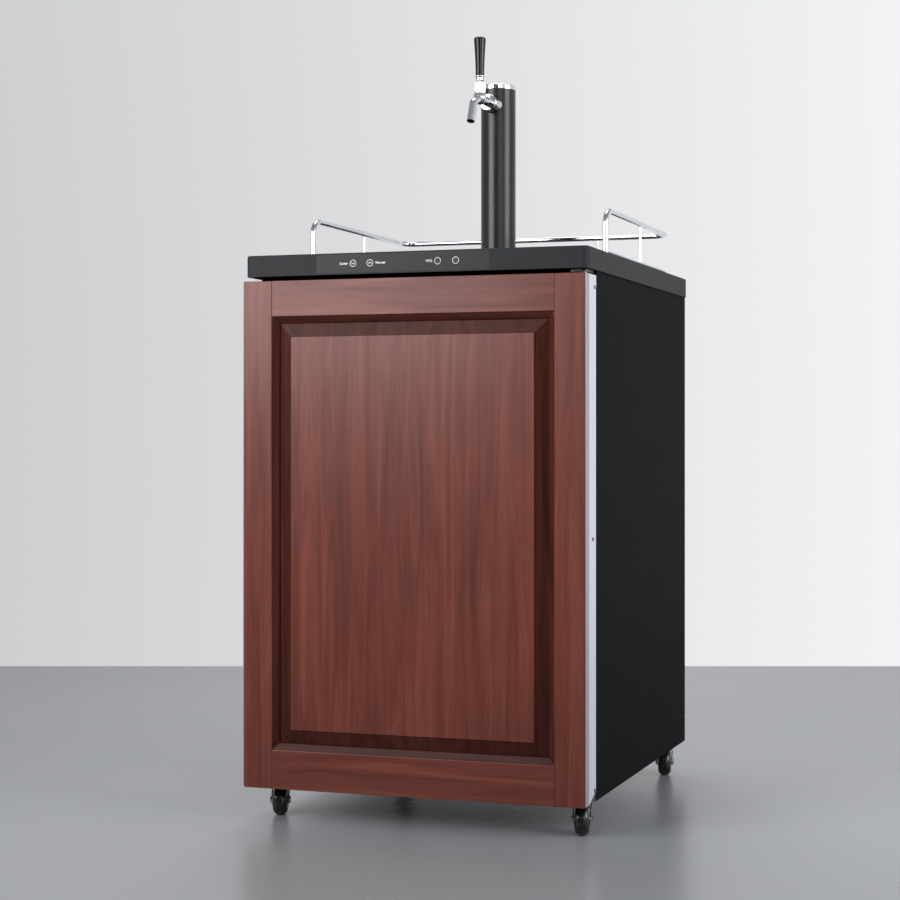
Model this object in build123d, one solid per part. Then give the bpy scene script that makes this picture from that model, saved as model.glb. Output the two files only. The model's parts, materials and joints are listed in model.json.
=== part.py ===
from build123d import *
import math
import os

# A full-size beer cooler on casters with a draught tower, one tap and a guard rail.
# Millimetres, +Z up. The origin is on the floor under the middle of the overall box,
# -Y is the front (door) and +X is the hinge side.

# Driving dimensions: the whole cooler
WORKTOP_W = 598.4
WORKTOP_T = 35.4
DEPTH = 650.0           # door face to worktop back
FLOOR_GAP = 55.0        # floor to door bottom
DOOR_W = 597.0
DOOR_H = 840.0
DOOR_T = 53.0           # wood face to the back of the metal body
TOP_GAP = 8.2           # door top to worktop underside
SEAL_GAP = 9.0          # door back to cabinet front
SEAL_AIR = 0.3          # gasket to cabinet front
CABINET_W = 593.0
BACK_INSET = 5.0        # worktop back to cabinet back

# Sheet metal, foam and liner
SKIN = 1.0
PAN_T = 1.5
PAN_RECESS = 7.0        # side skins' bottom edge to the base sheet
DECK_DROP = 5.0         # top deck below the worktop's rim
WALL_SIDE = 49.5        # outer skin to the liner's outer face
WALL_TOP = 39.0
WALL_BOTTOM = 37.5
WALL_BACK = 43.0
LINER_T = 2.0
LINER_R = 20.0
BAY_DEPTH = 136.0       # compressor bay
BAY_H = 195.0
BAY_SIDE = 25.5         # foam beside the bay
HUMP_FOAM = 20.0
SEAT = 0.05             # radial air round a fixed pin or pipe
AIR = 0.2               # gap between parts that must not rub

# Door joinery
WOOD_T = 19.0
TRIM_T = 1.5
TRIM_EDGE_R = 1.2
BODY_RISE = 2.5         # wood bottom to the metal body's bottom
BODY_DROP = 0.5         # wood top to the metal body's top
STILE_W = 51.0
RAIL_TOP_W = 59.0
RAIL_BOTTOM_W = 64.5
STICKING_W = 11.0       # moulded inner edge of the frame
STICKING_STEP = 1.5
STICKING_DROP = 5.5
GROOVE_D = 8.0
TONGUE_T = 6.5
TONGUE_BACK = 3.0
BEVEL_W = 23.0
FIELD_STEP = 1.8
FIELD_DROP = 1.2
LIP_W = 12.0
LIP_GROOVE_Y = 15.0
LIP_GROOVE_W = 1.5
LIP_GROOVE_D = 0.7
TRIM_CUT_Y = 35.0
TRIM_CUT_Z = 16.0
SCREW_HEAD_R = 3.2
SCREW_HEAD_T = 0.6
SCREW_R = 1.8
SCREW_L = 14.0
SCREW_END = 20.0
GASKET_INSET = 15.5
GASKET_END = 14.0
GASKET_W = 20.0
GASKET_R = 8.0
PLATEAU_W = 480.0
PLATEAU_H = 730.0
PLATEAU_RISE = 8.0

# Hinge
HINGE_X = 285.0
HINGE_Y = 35.0          # behind the door's face
PIN_R = 4.0
PIN_AIR = 0.05
PIN_REACH = 14.0        # into the door
BUSH_R = 7.0
BUSH_FLANGE_R = 10.0
BUSH_FLANGE_T = 0.8
BUSH_EXTRA = 2.0
TONGUE_HINGE_T = 3.0
TONGUE_FRONT = 12.0
TONGUE_LEFT = 23.0
TONGUE_RIGHT = 8.0      # keeps clear of the stile with the door wide open
TONGUE_R = 8.0
TONGUE_TOP_REACH = 40.0
BRACKET_H = 14.5
BRACKET_T = 3.0

# Worktop and controls
WORKTOP_SET = 8.7       # door face to worktop face
WORKTOP_R = 10.0
WORKTOP_EDGE_R = 3.0
WORKTOP_WALL = 4.0
WORKTOP_FACE = 8.0
RIB_X = 150.0
TOWER_BOSS_R = 56.0
PANEL_X = (-169.6, 133.7)
PANEL_MARGIN = 2.2
PANEL_T = 3.0
KEY_X = {"down": -103.0, "up": -73.2, "unit": 45.4, "mode": 76.5}
KEY_R = 6.5
KEY_PROUD = 0.4
KEY_TRAVEL = 0.8
KEY_FLANGE_R = 7.2
KEY_FLANGE_T = 1.2
KEY_HOLE_R = 7.6
BOARD_X = (-140.0, 112.0)
BOARD_T = 1.6
BOARD_H = 22.0
BOARD_BACK = 7.0
SWITCH = 6.0
POST_R = 3.0

# Tower and tap; heights are above the worktop, reaches are in front of the tower's axis
TOWER_Y = 417.0
TOWER_R = 31.75
TOWER_WALL = 1.8
TOWER_H = 334.0
CAP_T = 9.0
CAP_LIP = 1.0
CAP_PLUG = 12.0
FLANGE_R = 51.0
FLANGE_T = 5.0
DUCT_R = 24.0
DUCT_WALL = 2.0
FLANGE_PCD_R = 42.0
FLANGE_SCREW_R = 2.0
FLANGE_SCREW_L = 16.0
FLANGE_HEAD_R = 4.0
FLANGE_HEAD_T = 2.5
TAP_H = 304.0
SHANK_R = 11.0
SHANK_BACK = 14.0
COLLAR_ROOT_R = 23.75
COLLAR_NOSE_R = 13.5
COLLAR_T = 9.0
NUT_R = 15.0
NUT_EDGE_R = 2.0
SEAT_RING_R = 14.0
SEAT_RING_T = 3.0
NUT_T = 14.0
BARREL_R = 9.0
BALL_R = 12.5
STEM_REACH = 96.0
BONNET_Z = (314.0, 330.0)
BONNET_R = 10.0
BONNET_BORE = 6.8
BONNET_MOUTH = 8.7
LEVER_H = 320.0
LEVER_BALL_R = 6.5
LEVER_R = 2.5
LEVER_TIP_R = 1.8
LEVER_TIP_H = 302.0
TAP_SWING = 28.0
FERRULE_Z = (335.0, 344.0)
FERRULE_R = (7.0, 8.4)
HANDLE_TOP = 412.4
HANDLE_R = (7.8, 11.0)
VALVE_R = 4.0
VALVE_AIR = 0.3
VALVE_REACH = (74.0, 105.0)
VALVE_SLOT = 9.4
VALVE_SLOT_W = 4.4
VALVE_SLOT_D = 3.0
SPOUT_R = 7.2
SPOUT_BORE = 4.8
SPOUT_KNEE = (128.0, 291.0)
SPOUT_TIP = (142.0, 255.0)
SPOUT_BEND = 14.0

# Guard rail
RAIL_X = 270.0
RAIL_FRONT = 202.0
RAIL_REAR = 615.0
RAIL_H = 80.5
RAIL_R = 5.0
RAIL_BEND = 27.0
ROD_H = 10.5
ROD_R = 3.0
POST_THIN_R = 2.35
SIDE_POST_Y = 420.0
REAR_POST_X = (-90.0, 131.0)
SHOE_R = 9.0
SHOE_T = 3.0
SHOE_THIN_R = 6.5
FOOT_Y = 550.0
FOOT_R = 3.6

# Drip tray
TRAY_W = 150.0
TRAY_Y = (212.0, 352.0)
TRAY_H = 19.0
TRAY_WALL = 1.6
TRAY_R = 10.0
GRILLE_T = 2.0
GRILLE_AIR = 0.4
GRILLE_SLOTS = 11

# Casters
CASTER_X = 268.0
CASTER_FRONT = 20.0     # behind the cabinet front
CASTER_REAR = 40.0      # in front of the cabinet back
TRAIL = 24.0
WHEEL_R = 25.0
WHEEL_W = 24.0
TREAD_R = 9.0
HUB_W = 25.0
HUB_R = 9.0
AXLE_R = 4.0
FORK_PLATE = 2.0
FORK_AIR = 0.6
RIVET_R = 5.5
RIVET_T = 2.0
MOUNT_W = 36.0
MOUNT_T = 2.5
RACE_R = 15.0
RACE_T = 7.0
RACE_AIR = 0.5
FORK_TOP_T = 3.0
FORK_TOP_Y = (-14.0, 13.0)
FORK_HEEL = 7.0
FORK_TOE = 8.0
FORK_WAIST = 2.0
KINGPIN_HEAD_R = 6.0
KINGPIN_HEAD_T = 2.0
CASTER_YAW = {
    "front_left": 20.0,
    "front_right": 14.0,
    "rear_left": 26.0,
    "rear_right": 12.0,
}

# Cooling
CONDENSER_X = (-255.0, -187.0)
CONDENSER_H = 100.0
FINS = 14
FIN_T = 0.8
FIN_INSET = 12.0
TUBE_R = 4.0
TUBE_COLUMNS = (0.28, 0.72)
TUBE_ROWS = (0.2, 0.5, 0.8)
FAN_X = (-178.0, -153.0)
FAN_W = 100.0
FAN_HOLE_R = 45.0
FAN_HUB_R = 14.0
FAN_SHAFT_R = 2.0
BLADES = 5
BLADE_T = 1.6
BLADE_CHORD = 21.0
BLADE_PITCH = 35.0
BLADE_ROOT = 2.0        # blade sunk into the hub, and its tip air
SPOKE_W = 4.0
SPOKE_T = 3.0
COMPRESSOR_X = 95.0
COMPRESSOR_R = 57.0
COMPRESSOR_H = 150.0
COMPRESSOR_DOME = 26.0
COMPRESSOR_REACH = 76.95
RELAY_X = (31.0, 70.0)
MOUNT_FOOT_R = 9.0
MOUNT_FOOT_H = 9.0
GLAND_X = -215.0
GLAND_R = 8.0
GLAND_RIM_R = 11.2
GLAND_DROP = 40.0
SLOT_W = 6.0
SLOT_PITCH = 15.0
SLOT_END = 12.0
EVAPORATOR_W = 380.0
EVAPORATOR_H = 270.0
EVAPORATOR_T = 2.0
EVAPORATOR_OFF = 5.0
EVAPORATOR_DROP = 30.0
CHANNELS = 7
CHANNEL_R = 3.5
PEG_R = 5.0
PEG_END = 15.0
PEG_SIDE = 10.0

# Levels and planes worked out from the sizes above
FRONT = -DEPTH / 2
BACK = DEPTH / 2
DOOR_BACK = FRONT + DOOR_T
CAB_FRONT = DOOR_BACK + SEAL_GAP
CAB_BACK = BACK - BACK_INSET
DOOR_Z = (FLOOR_GAP, FLOOR_GAP + DOOR_H)
BODY_Z = (DOOR_Z[0] + BODY_RISE, DOOR_Z[1] - BODY_DROP)
TOP_Z0 = DOOR_Z[1] + TOP_GAP
TOP_Z1 = TOP_Z0 + WORKTOP_T
DECK_Z = TOP_Z0 - DECK_DROP
CAB_Z0 = FLOOR_GAP
PAN_Z = CAB_Z0 + PAN_RECESS
PAN_TOP = PAN_Z + PAN_T
CAB_X = CABINET_W / 2
INNER_X = CAB_X - SKIN
DOOR_X = DOOR_W / 2
WOOD_X = DOOR_X - TRIM_T
LINER_X = CAB_X - WALL_SIDE
LINER_Z = (PAN_TOP + WALL_BOTTOM, DECK_Z - SKIN - WALL_TOP)
LINER_Y = CAB_BACK - WALL_BACK
BAY_X = INNER_X - BAY_SIDE
BAY_Y = CAB_BACK - BAY_DEPTH
BAY_TOP = PAN_TOP + BAY_H
HUMP_Y = BAY_Y - SKIN - HUMP_FOAM
HUMP_Z = BAY_TOP + SKIN + HUMP_FOAM
TOWER_PY = FRONT + TOWER_Y
HINGE_PY = FRONT + HINGE_Y
WORKTOP_Y0 = FRONT + WORKTOP_SET
WORKTOP_X = WORKTOP_W / 2
OPEN_X = DOOR_X - TRIM_T - STILE_W
OPEN_Z = (DOOR_Z[0] + RAIL_BOTTOM_W, DOOR_Z[1] - RAIL_TOP_W)
SIGHT_X = OPEN_X - STICKING_W
SIGHT_Z = (OPEN_Z[0] + STICKING_W, OPEN_Z[1] - STICKING_W)
KEY_Z = TOP_Z0 + WORKTOP_T / 2
TAP_Z = TOP_Z1 + TAP_H
LEVER_Z = TOP_Z1 + LEVER_H
LEVER_Y = TOWER_PY - STEM_REACH


def block(x, y, z):
    """Box between two limits on each axis."""
    centre = [(low + high) / 2 for low, high in (x, y, z)]
    return Pos(*centre) * Box(x[1] - x[0], y[1] - y[0], z[1] - z[0])


def rod_x(x, y, z, radius):
    return Pos((x[0] + x[1]) / 2, y, z) * Rot(0, 90, 0) * Cylinder(radius, x[1] - x[0])


def rod_y(x, y, z, radius):
    return Pos(x, (y[0] + y[1]) / 2, z) * Rot(90, 0, 0) * Cylinder(radius, y[1] - y[0])


def rod_z(x, y, z, radius):
    return Pos(x, y, (z[0] + z[1]) / 2) * Cylinder(radius, z[1] - z[0])


def cone_z(x, y, z, radii):
    return Pos(x, y, (z[0] + z[1]) / 2) * Cone(radii[0], radii[1], z[1] - z[0])


def both(half):
    """Limits from -half to +half."""
    return (-half, half)


def pipe(points, bend, radius):
    """Round bar along straight runs joined by tangent arcs."""
    path = FilletPolyline(*points, radius=bend)
    return sweep(Plane(path @ 0, z_dir=path % 0) * Circle(radius), path)


def mirrored(shape):
    return shape.mirror(Plane.YZ)


def save(name, *shapes):
    """One STEP file for a node: every solid of the shapes given."""
    solids = [solid for shape in shapes for solid in shape.solids()]
    solids[0].label = name
    export_step(solids[0] if len(solids) == 1 else Compound(solids), f"parts/{name}.step")


# Cabinet


def liner_shape(grow):
    """Inside of the liner, made larger all round by grow; open to the front."""
    x = LINER_X - LINER_T + grow
    z = (LINER_Z[0] + LINER_T - grow, LINER_Z[1] - LINER_T + grow)
    room = block(both(x), (CAB_FRONT, LINER_Y - LINER_T + grow), z)
    room = fillet(room.edges().filter_by(Axis.Y), LINER_R + grow)
    hump_y = HUMP_Y - LINER_T + grow
    hump = block(both(CAB_X), (hump_y, CAB_BACK), (CAB_Z0, HUMP_Z + LINER_T - grow))
    return room - hump


def duct(radius, z):
    return rod_z(0, TOWER_PY, z, radius)


def cabinet_wrap():
    """Bent steel skin: two sides, top deck and the front return round the opening."""
    y = (CAB_FRONT, CAB_BACK)
    shell = block(both(CAB_X), y, (CAB_Z0, TOP_Z0))
    shell -= block(both(INNER_X), (CAB_FRONT + SKIN, CAB_BACK), (CAB_Z0, DECK_Z - SKIN))
    shell -= block(both(INNER_X), y, (DECK_Z, TOP_Z0))
    shell -= liner_shape(LINER_T)
    return shell - duct(DUCT_R + DUCT_WALL + SEAT, (DECK_Z - SKIN, DECK_Z))


def foam_body():
    """Poured insulation between the skins and the liner, with the bay left free."""
    foam = block(both(INNER_X), (CAB_FRONT + SKIN, CAB_BACK - SKIN), (PAN_TOP, DECK_Z - SKIN))
    foam -= liner_shape(LINER_T)
    foam -= block(both(BAY_X + SKIN), (BAY_Y - SKIN, CAB_BACK), (PAN_TOP, BAY_TOP + SKIN))
    return foam - duct(DUCT_R + DUCT_WALL + SEAT, (LINER_Z[1], DECK_Z))


def inner_liner():
    """Formed white liner with the hump over the bay and the spout up to the tower."""
    liner = liner_shape(LINER_T) - liner_shape(0)
    liner += duct(DUCT_R + DUCT_WALL, (LINER_Z[1] - LINER_T, DECK_Z))
    return liner - duct(DUCT_R, (LINER_Z[1] - 2 * LINER_T, DECK_Z))


def base_sheet():
    """Floor sheet, stepped up to line the compressor bay."""
    sheet = block(both(INNER_X), (CAB_FRONT + SKIN, CAB_BACK - SKIN), (PAN_Z, PAN_TOP))
    sheet += block(both(BAY_X + SKIN), (BAY_Y - SKIN, CAB_BACK - SKIN), (PAN_Z, BAY_TOP + SKIN))
    return sheet - block(both(BAY_X), (BAY_Y, CAB_BACK), (PAN_Z, BAY_TOP))


def compressor_tray():
    return block(both(BAY_X), (BAY_Y, CAB_BACK - SKIN), (PAN_Z, PAN_TOP))


def back_panel():
    panel = block(both(INNER_X), (CAB_BACK - SKIN, CAB_BACK), (PAN_Z, DECK_Z - SKIN))
    return panel - block(both(BAY_X), (CAB_BACK - SKIN, CAB_BACK), (PAN_Z, BAY_TOP))


def rear_grille():
    """Louvred cover of the bay, with the hole of the lead's gland."""
    y = (CAB_BACK - SKIN, CAB_BACK)
    cover = block(both(BAY_X), y, (PAN_Z, BAY_TOP))
    middle = (PAN_Z + BAY_TOP) / 2
    rows = [(PAN_Z + SLOT_END, middle - SLOT_W), (middle + SLOT_W, BAY_TOP - SLOT_END)]
    count = int(BAY_X / SLOT_PITCH) - 1
    for step in range(-count, count + 1):
        x = step * SLOT_PITCH
        for low, high in rows:
            if abs(x - GLAND_X) < GLAND_R + SLOT_PITCH and high > middle:
                continue
            cover -= block((x - SLOT_W / 2, x + SLOT_W / 2), y, (low, high))
    return cover - rod_y(GLAND_X, y, gland_z(), GLAND_R + SEAT)


def gland_z():
    return BAY_TOP - GLAND_DROP


def power_gland():
    """Gland that the mains lead would leave through."""
    gland = rod_y(GLAND_X, (CAB_BACK - GLAND_R, CAB_BACK + BACK_INSET - SKIN), gland_z(), GLAND_R)
    rim = rod_y(GLAND_X, (CAB_BACK, CAB_BACK + SKIN), gland_z(), GLAND_RIM_R)
    bore = rod_y(GLAND_X, (CAB_BACK - GLAND_R, BACK), gland_z(), GLAND_R / 2)
    return gland + rim - bore


def compressor():
    """Sealed compressor on its foot plate, with its relay box, and four rubber feet."""
    y = (BAY_Y + CAB_BACK) / 2
    plate = (PAN_TOP + MOUNT_FOOT_H, PAN_TOP + MOUNT_FOOT_H + PAN_T)
    can = rod_z(COMPRESSOR_X, y, (plate[1], plate[1] + COMPRESSOR_H), COMPRESSOR_R)
    can = fillet(can.edges().filter_by(GeomType.CIRCLE), COMPRESSOR_DOME)
    half = BAY_DEPTH / 2 - MOUNT_FOOT_R
    x = (COMPRESSOR_X - COMPRESSOR_REACH, COMPRESSOR_X + COMPRESSOR_REACH)
    can += block(x, (y - half, y + half), plate)
    dome = both(COMPRESSOR_DOME)
    can += Pos(COMPRESSOR_X, y, 0) * block(dome, dome, (plate[0], plate[1] + COMPRESSOR_DOME))
    relay_z = (plate[0] + COMPRESSOR_R, plate[0] + 2 * COMPRESSOR_R)
    can += Pos(COMPRESSOR_X, y, 0) * block(RELAY_X, dome, relay_z)
    out_x, out_y = COMPRESSOR_REACH - MOUNT_FOOT_R, half - MOUNT_FOOT_R
    feet = []
    for sx in (-1, 1):
        for sy in (-1, 1):
            place = (COMPRESSOR_X + sx * out_x, y + sy * out_y)
            feet.append(rod_z(*place, (PAN_TOP, plate[0]), MOUNT_FOOT_R))
    return can, feet


def condenser():
    """Fin pack on straight tubes; its end plates stand on the tray."""
    x, y = CONDENSER_X, (BAY_Y + FIN_INSET, CAB_BACK - FIN_INSET)
    top = PAN_TOP + CONDENSER_H
    pitch = (y[1] - y[0] - PAN_T) / FINS
    pack = block(x, (y[0], y[0] + PAN_T), (PAN_TOP, top))
    pack += block(x, (y[1] - PAN_T, y[1]), (PAN_TOP, top))
    for fin in range(1, FINS):
        start = y[0] + fin * pitch
        pack += block(x, (start, start + FIN_T), (PAN_TOP + TUBE_R, top - TUBE_R))
    for column in TUBE_COLUMNS:
        for row in TUBE_ROWS:
            place = x[0] + column * (x[1] - x[0])
            pack += rod_y(place, y, PAN_TOP + row * CONDENSER_H, TUBE_R)
    return pack


def fan_centre():
    return (BAY_Y + CAB_BACK) / 2, PAN_TOP + FAN_W / 2


def condenser_fan_frame():
    """Square fan frame with three spokes that carry the shaft."""
    y, z = fan_centre()
    half = FAN_W / 2
    frame = block(FAN_X, (y - half, y + half), (z - half, z + half))
    frame -= rod_x(FAN_X, y, z, FAN_HOLE_R)
    spokes_x = (FAN_X[0], FAN_X[0] + SPOKE_T)
    for turn in range(3):
        spoke = block(spokes_x, both(SPOKE_W / 2), (0, FAN_HOLE_R + SKIN))
        frame += Pos(0, y, z) * Rot(turn * 120, 0, 0) * spoke
    frame += rod_x(spokes_x, y, z, FAN_HUB_R)
    return frame + rod_x((FAN_X[0], FAN_X[1] - SPOKE_T), y, z, FAN_SHAFT_R)


def condenser_fan_rotor():
    y, z = fan_centre()
    x = (FAN_X[0] + SPOKE_T + RACE_AIR, FAN_X[1] - PAN_T)
    rotor = rod_x(x, y, z, FAN_HUB_R)
    middle = (x[0] + x[1]) / 2
    root, tip = FAN_HUB_R - BLADE_ROOT, FAN_HOLE_R - BLADE_ROOT
    for turn in range(BLADES):
        blade = Pos(0, 0, (root + tip) / 2) * Rot(0, 0, BLADE_PITCH)
        blade = blade * Box(BLADE_T, BLADE_CHORD, tip - root)
        rotor += Pos(middle, y, z) * Rot(turn * 360 / BLADES, 0, 0) * blade
    return rotor - rod_x((x[0], FAN_X[1] - SPOKE_T + RACE_AIR), y, z, FAN_SHAFT_R + PIN_AIR)


def evaporator_plate():
    """Cold plate with raised channels, held off the liner's back wall."""
    back = LINER_Y - LINER_T
    face = back - EVAPORATOR_OFF
    top = LINER_Z[1] - LINER_T - EVAPORATOR_DROP
    z = (top - EVAPORATOR_H, top)
    half = EVAPORATOR_W / 2
    plate = block(both(half), (face - EVAPORATOR_T, face), z)
    for row in range(CHANNELS):
        level = z[0] + (row + 0.5) * EVAPORATOR_H / CHANNELS
        plate += rod_x(both(half - 4 * CHANNEL_R), face - EVAPORATOR_T, level, CHANNEL_R)
    for sx in (-1, 1):
        for level in (z[0] + PEG_END, z[1] - PEG_END):
            plate += rod_y(sx * (half - PEG_SIDE), (face, back), level, PEG_R)
    return plate


# Door


def wood_frame():
    """Stiles and rails as one board with the moulded inner edge and panel groove."""
    y = (FRONT, FRONT + WOOD_T)
    frame = block(both(WOOD_X), y, DOOR_Z)
    frame -= block(both(OPEN_X), (FRONT, FRONT + STICKING_STEP), OPEN_Z)
    frame -= block(both(SIGHT_X), y, SIGHT_Z)
    edge = Rectangle(2 * OPEN_X, OPEN_Z[1] - OPEN_Z[0])
    plane = Plane((0, FRONT + STICKING_STEP, sum(OPEN_Z) / 2), x_dir=(1, 0, 0), z_dir=(0, 1, 0))
    slope = math.degrees(math.atan2(STICKING_W, STICKING_DROP))
    frame -= extrude(plane * edge, STICKING_DROP, taper=slope)
    groove = groove_y()
    groove_z = (SIGHT_Z[0] - GROOVE_D, SIGHT_Z[1] + GROOVE_D)
    return frame - block(both(SIGHT_X + GROOVE_D), groove, groove_z)


def groove_y():
    back = FRONT + WOOD_T - TONGUE_BACK
    return (back - TONGUE_T, back)


def stile_region():
    left = block((-WOOD_X, -OPEN_X), (FRONT, FRONT + WOOD_T), DOOR_Z)
    return left + block((-OPEN_X, -SIGHT_X), (FRONT, FRONT + WOOD_T), SIGHT_Z)


def door_stiles(frame):
    left = frame & stile_region()
    return left, frame & mirrored(stile_region())


def door_rails(frame):
    y = (FRONT, FRONT + WOOD_T)
    bottom = frame & block(both(OPEN_X), y, (DOOR_Z[0], SIGHT_Z[0]))
    return bottom, frame & block(both(OPEN_X), y, (SIGHT_Z[1], DOOR_Z[1]))


def door_panel():
    """Raised panel: tongue in the groove, sloping bevel and a stepped flat field."""
    y = groove_y()
    edge_x = SIGHT_X + GROOVE_D - AIR
    edge_z = (SIGHT_Z[0] - GROOVE_D + AIR, SIGHT_Z[1] + GROOVE_D - AIR)
    panel = block(both(edge_x), y, edge_z)
    rise = y[0] - (FRONT + FIELD_DROP + FIELD_STEP)
    plane = Plane((0, y[0], sum(SIGHT_Z) / 2), x_dir=(1, 0, 0), z_dir=(0, -1, 0))
    raised = Rectangle(2 * SIGHT_X - 2 * AIR, SIGHT_Z[1] - SIGHT_Z[0] - 2 * AIR)
    panel += extrude(plane * raised, rise, taper=math.degrees(math.atan2(BEVEL_W, rise)))
    field_z = (SIGHT_Z[0] + BEVEL_W + AIR, SIGHT_Z[1] - BEVEL_W - AIR)
    field_y = (FRONT + FIELD_DROP, FRONT + FIELD_DROP + FIELD_STEP)
    return panel + block(both(SIGHT_X - BEVEL_W - AIR), field_y, field_z)


def door_skin():
    return block(both(WOOD_X), (FRONT + WOOD_T, FRONT + WOOD_T + SKIN), BODY_Z)


def bush_bore(z):
    return rod_z(HINGE_X, HINGE_PY, z, BUSH_R + SEAT)


def bush_spans():
    """Height limits of the bush bodies, bottom and top."""
    depth = PIN_REACH + BUSH_EXTRA
    return (BODY_Z[0], BODY_Z[0] + depth), (BODY_Z[1] - depth, BODY_Z[1])


def screw_places():
    return [DOOR_Z[0] + SCREW_END, sum(DOOR_Z) / 2, DOOR_Z[1] - SCREW_END]


def screws(radius):
    shanks = []
    for side in (-1, 1):
        for z in screw_places():
            x = sorted((side * DOOR_X, side * (DOOR_X - SCREW_L)))
            shanks.append(rod_x(x, screw_y(z), z, radius))
    return shanks


def screw_y(z):
    """The end screws stand in front of the hinge bush, the middle one in the middle."""
    middle = FRONT + WOOD_T + (DOOR_T - WOOD_T) / 2
    return middle if z == sum(DOOR_Z) / 2 else HINGE_PY + BUSH_R + 2 * SCREW_R


def door_foam():
    y = (FRONT + WOOD_T + SKIN, DOOR_BACK - TRIM_T)
    foam = block(both(WOOD_X), y, (BODY_Z[0] + TRIM_T, BODY_Z[1] - TRIM_T))
    foam += plateau(LINER_T)
    for span in bush_spans():
        foam -= bush_bore(span)
    for shank in screws(SCREW_R + SEAT):
        foam -= shank
    return foam


def plateau(inset):
    """Raised middle of the door's inner face, smaller all round by inset."""
    half = PLATEAU_W / 2 - inset
    middle = sum(DOOR_Z) / 2
    tall = PLATEAU_H / 2 - inset
    y = (DOOR_BACK - TRIM_T, DOOR_BACK + PLATEAU_RISE + SKIN / 2 - inset)
    body = block(both(half), y, (middle - tall, middle + tall))
    return fillet(body.edges().filter_by(Axis.Y), LINER_R - inset)


def door_liner():
    x = DOOR_X - LIP_W - TRIM_T - AIR
    z = (BODY_Z[0] + LIP_W, BODY_Z[1] - LIP_W)
    sheet = block(both(x), (DOOR_BACK - TRIM_T, DOOR_BACK - TRIM_T + LINER_T), z)
    return sheet + plateau(0) - plateau(LINER_T)


def door_gasket():
    x = DOOR_X - GASKET_INSET
    z = (DOOR_Z[0] + GASKET_END, DOOR_Z[1] - GASKET_END)
    y = (DOOR_BACK - TRIM_T + LINER_T, CAB_FRONT - SEAL_AIR)
    ring = fillet(block(both(x), y, z).edges().filter_by(Axis.Y), GASKET_R)
    return ring - block(both(x - GASKET_W), y, (z[0] + GASKET_W, z[1] - GASKET_W))


def trim_sides():
    """Pale edge profiles: outer face with a groove, a back lip and a cut lower corner."""
    x = (DOOR_X - TRIM_T, DOOR_X)
    trim = block(x, (FRONT, DOOR_BACK), BODY_Z)
    trim = fillet(trim.edges().filter_by(Axis.Z).sort_by(Axis.Y)[:1], TRIM_EDGE_R)
    groove = (FRONT + LIP_GROOVE_Y, FRONT + LIP_GROOVE_Y + LIP_GROOVE_W)
    trim -= block((DOOR_X - LIP_GROOVE_D, DOOR_X), groove, BODY_Z)
    trim += block((DOOR_X - TRIM_T - LIP_W, DOOR_X), (DOOR_BACK - TRIM_T, DOOR_BACK), BODY_Z)
    low = BODY_Z[0]
    corner = [(DOOR_BACK - TRIM_CUT_Y, low), (DOOR_BACK, low), (DOOR_BACK, low + TRIM_CUT_Z)]
    plane = Plane((DOOR_X - TRIM_T, 0, 0), x_dir=(0, 1, 0), z_dir=(1, 0, 0))
    trim -= extrude(plane * make_face(Polyline(*corner, close=True)), TRIM_T)
    right = trim
    left = mirrored(trim)
    for hole in screws(SCREW_R + SEAT):
        right -= hole
        left -= hole
    return left, right


def trim_ends():
    """Channels that close the metal body at the bottom and the top."""
    ends = []
    lip_y = (DOOR_BACK - TRIM_T, DOOR_BACK)
    for low, sign in ((BODY_Z[0], 1), (BODY_Z[1], -1)):
        web = sorted((low, low + sign * TRIM_T))
        lip = sorted((low, low + sign * LIP_W))
        end = block(both(WOOD_X), (FRONT + WOOD_T + SKIN, lip_y[0]), web)
        end += block(both(WOOD_X - LIP_W - AIR), lip_y, lip)
        ends.append(end - bush_bore(web))
    return ends


def trim_screws():
    parts = []
    for side in (-1, 1):
        for z in screw_places():
            head = sorted((side * DOOR_X, side * (DOOR_X + SCREW_HEAD_T)))
            shank = sorted((side * DOOR_X, side * (DOOR_X - SCREW_L)))
            screw = rod_x(head, screw_y(z), z, SCREW_HEAD_R)
            parts.append(screw + rod_x(shank, screw_y(z), z, SCREW_R))
    return parts


def hinge_bushes():
    parts = []
    for (low, high), end, sign in zip(bush_spans(), BODY_Z, (-1, 1)):
        bush = rod_z(HINGE_X, HINGE_PY, (low, high), BUSH_R)
        flange = sorted((end, end + sign * BUSH_FLANGE_T))
        bush += rod_z(HINGE_X, HINGE_PY, flange, BUSH_FLANGE_R)
        bore = (low - BUSH_FLANGE_T, high + BUSH_FLANGE_T)
        blind = {-1: (bore[0], high - BUSH_EXTRA / 2), 1: (low + BUSH_EXTRA / 2, bore[1])}[sign]
        parts.append(bush - rod_z(HINGE_X, HINGE_PY, blind, PIN_R + PIN_AIR))
    return parts


def tongue_z():
    """Bottom and top hinge plates' height limits."""
    top = BODY_Z[0] - BUSH_FLANGE_T - AIR
    return (top - TONGUE_HINGE_T, top), (DECK_Z, TOP_Z0)


def tongue(y_end, z):
    x = (HINGE_X - TONGUE_LEFT, HINGE_X + TONGUE_RIGHT)
    plate = block(x, (HINGE_PY - TONGUE_FRONT, y_end), z)
    front = plate.edges().filter_by(Axis.Z).group_by(Axis.Y)[0]
    return fillet(front, TONGUE_R)


def hinge_plates():
    """Lower plate with its flange on the cabinet's front, upper plate on the deck."""
    low, high = tongue_z()
    lower = tongue(CAB_FRONT, low)
    x = (HINGE_X - 2 * TONGUE_LEFT, HINGE_X + TONGUE_RIGHT)
    lower += block(x, (CAB_FRONT - BRACKET_T, CAB_FRONT), (low[0], low[0] + BRACKET_H))
    upper = tongue(CAB_FRONT + TONGUE_TOP_REACH, high)
    hole = rod_z(HINGE_X, HINGE_PY, (low[0], high[1]), PIN_R + SEAT / 2)
    return lower - hole, upper - hole


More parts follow.
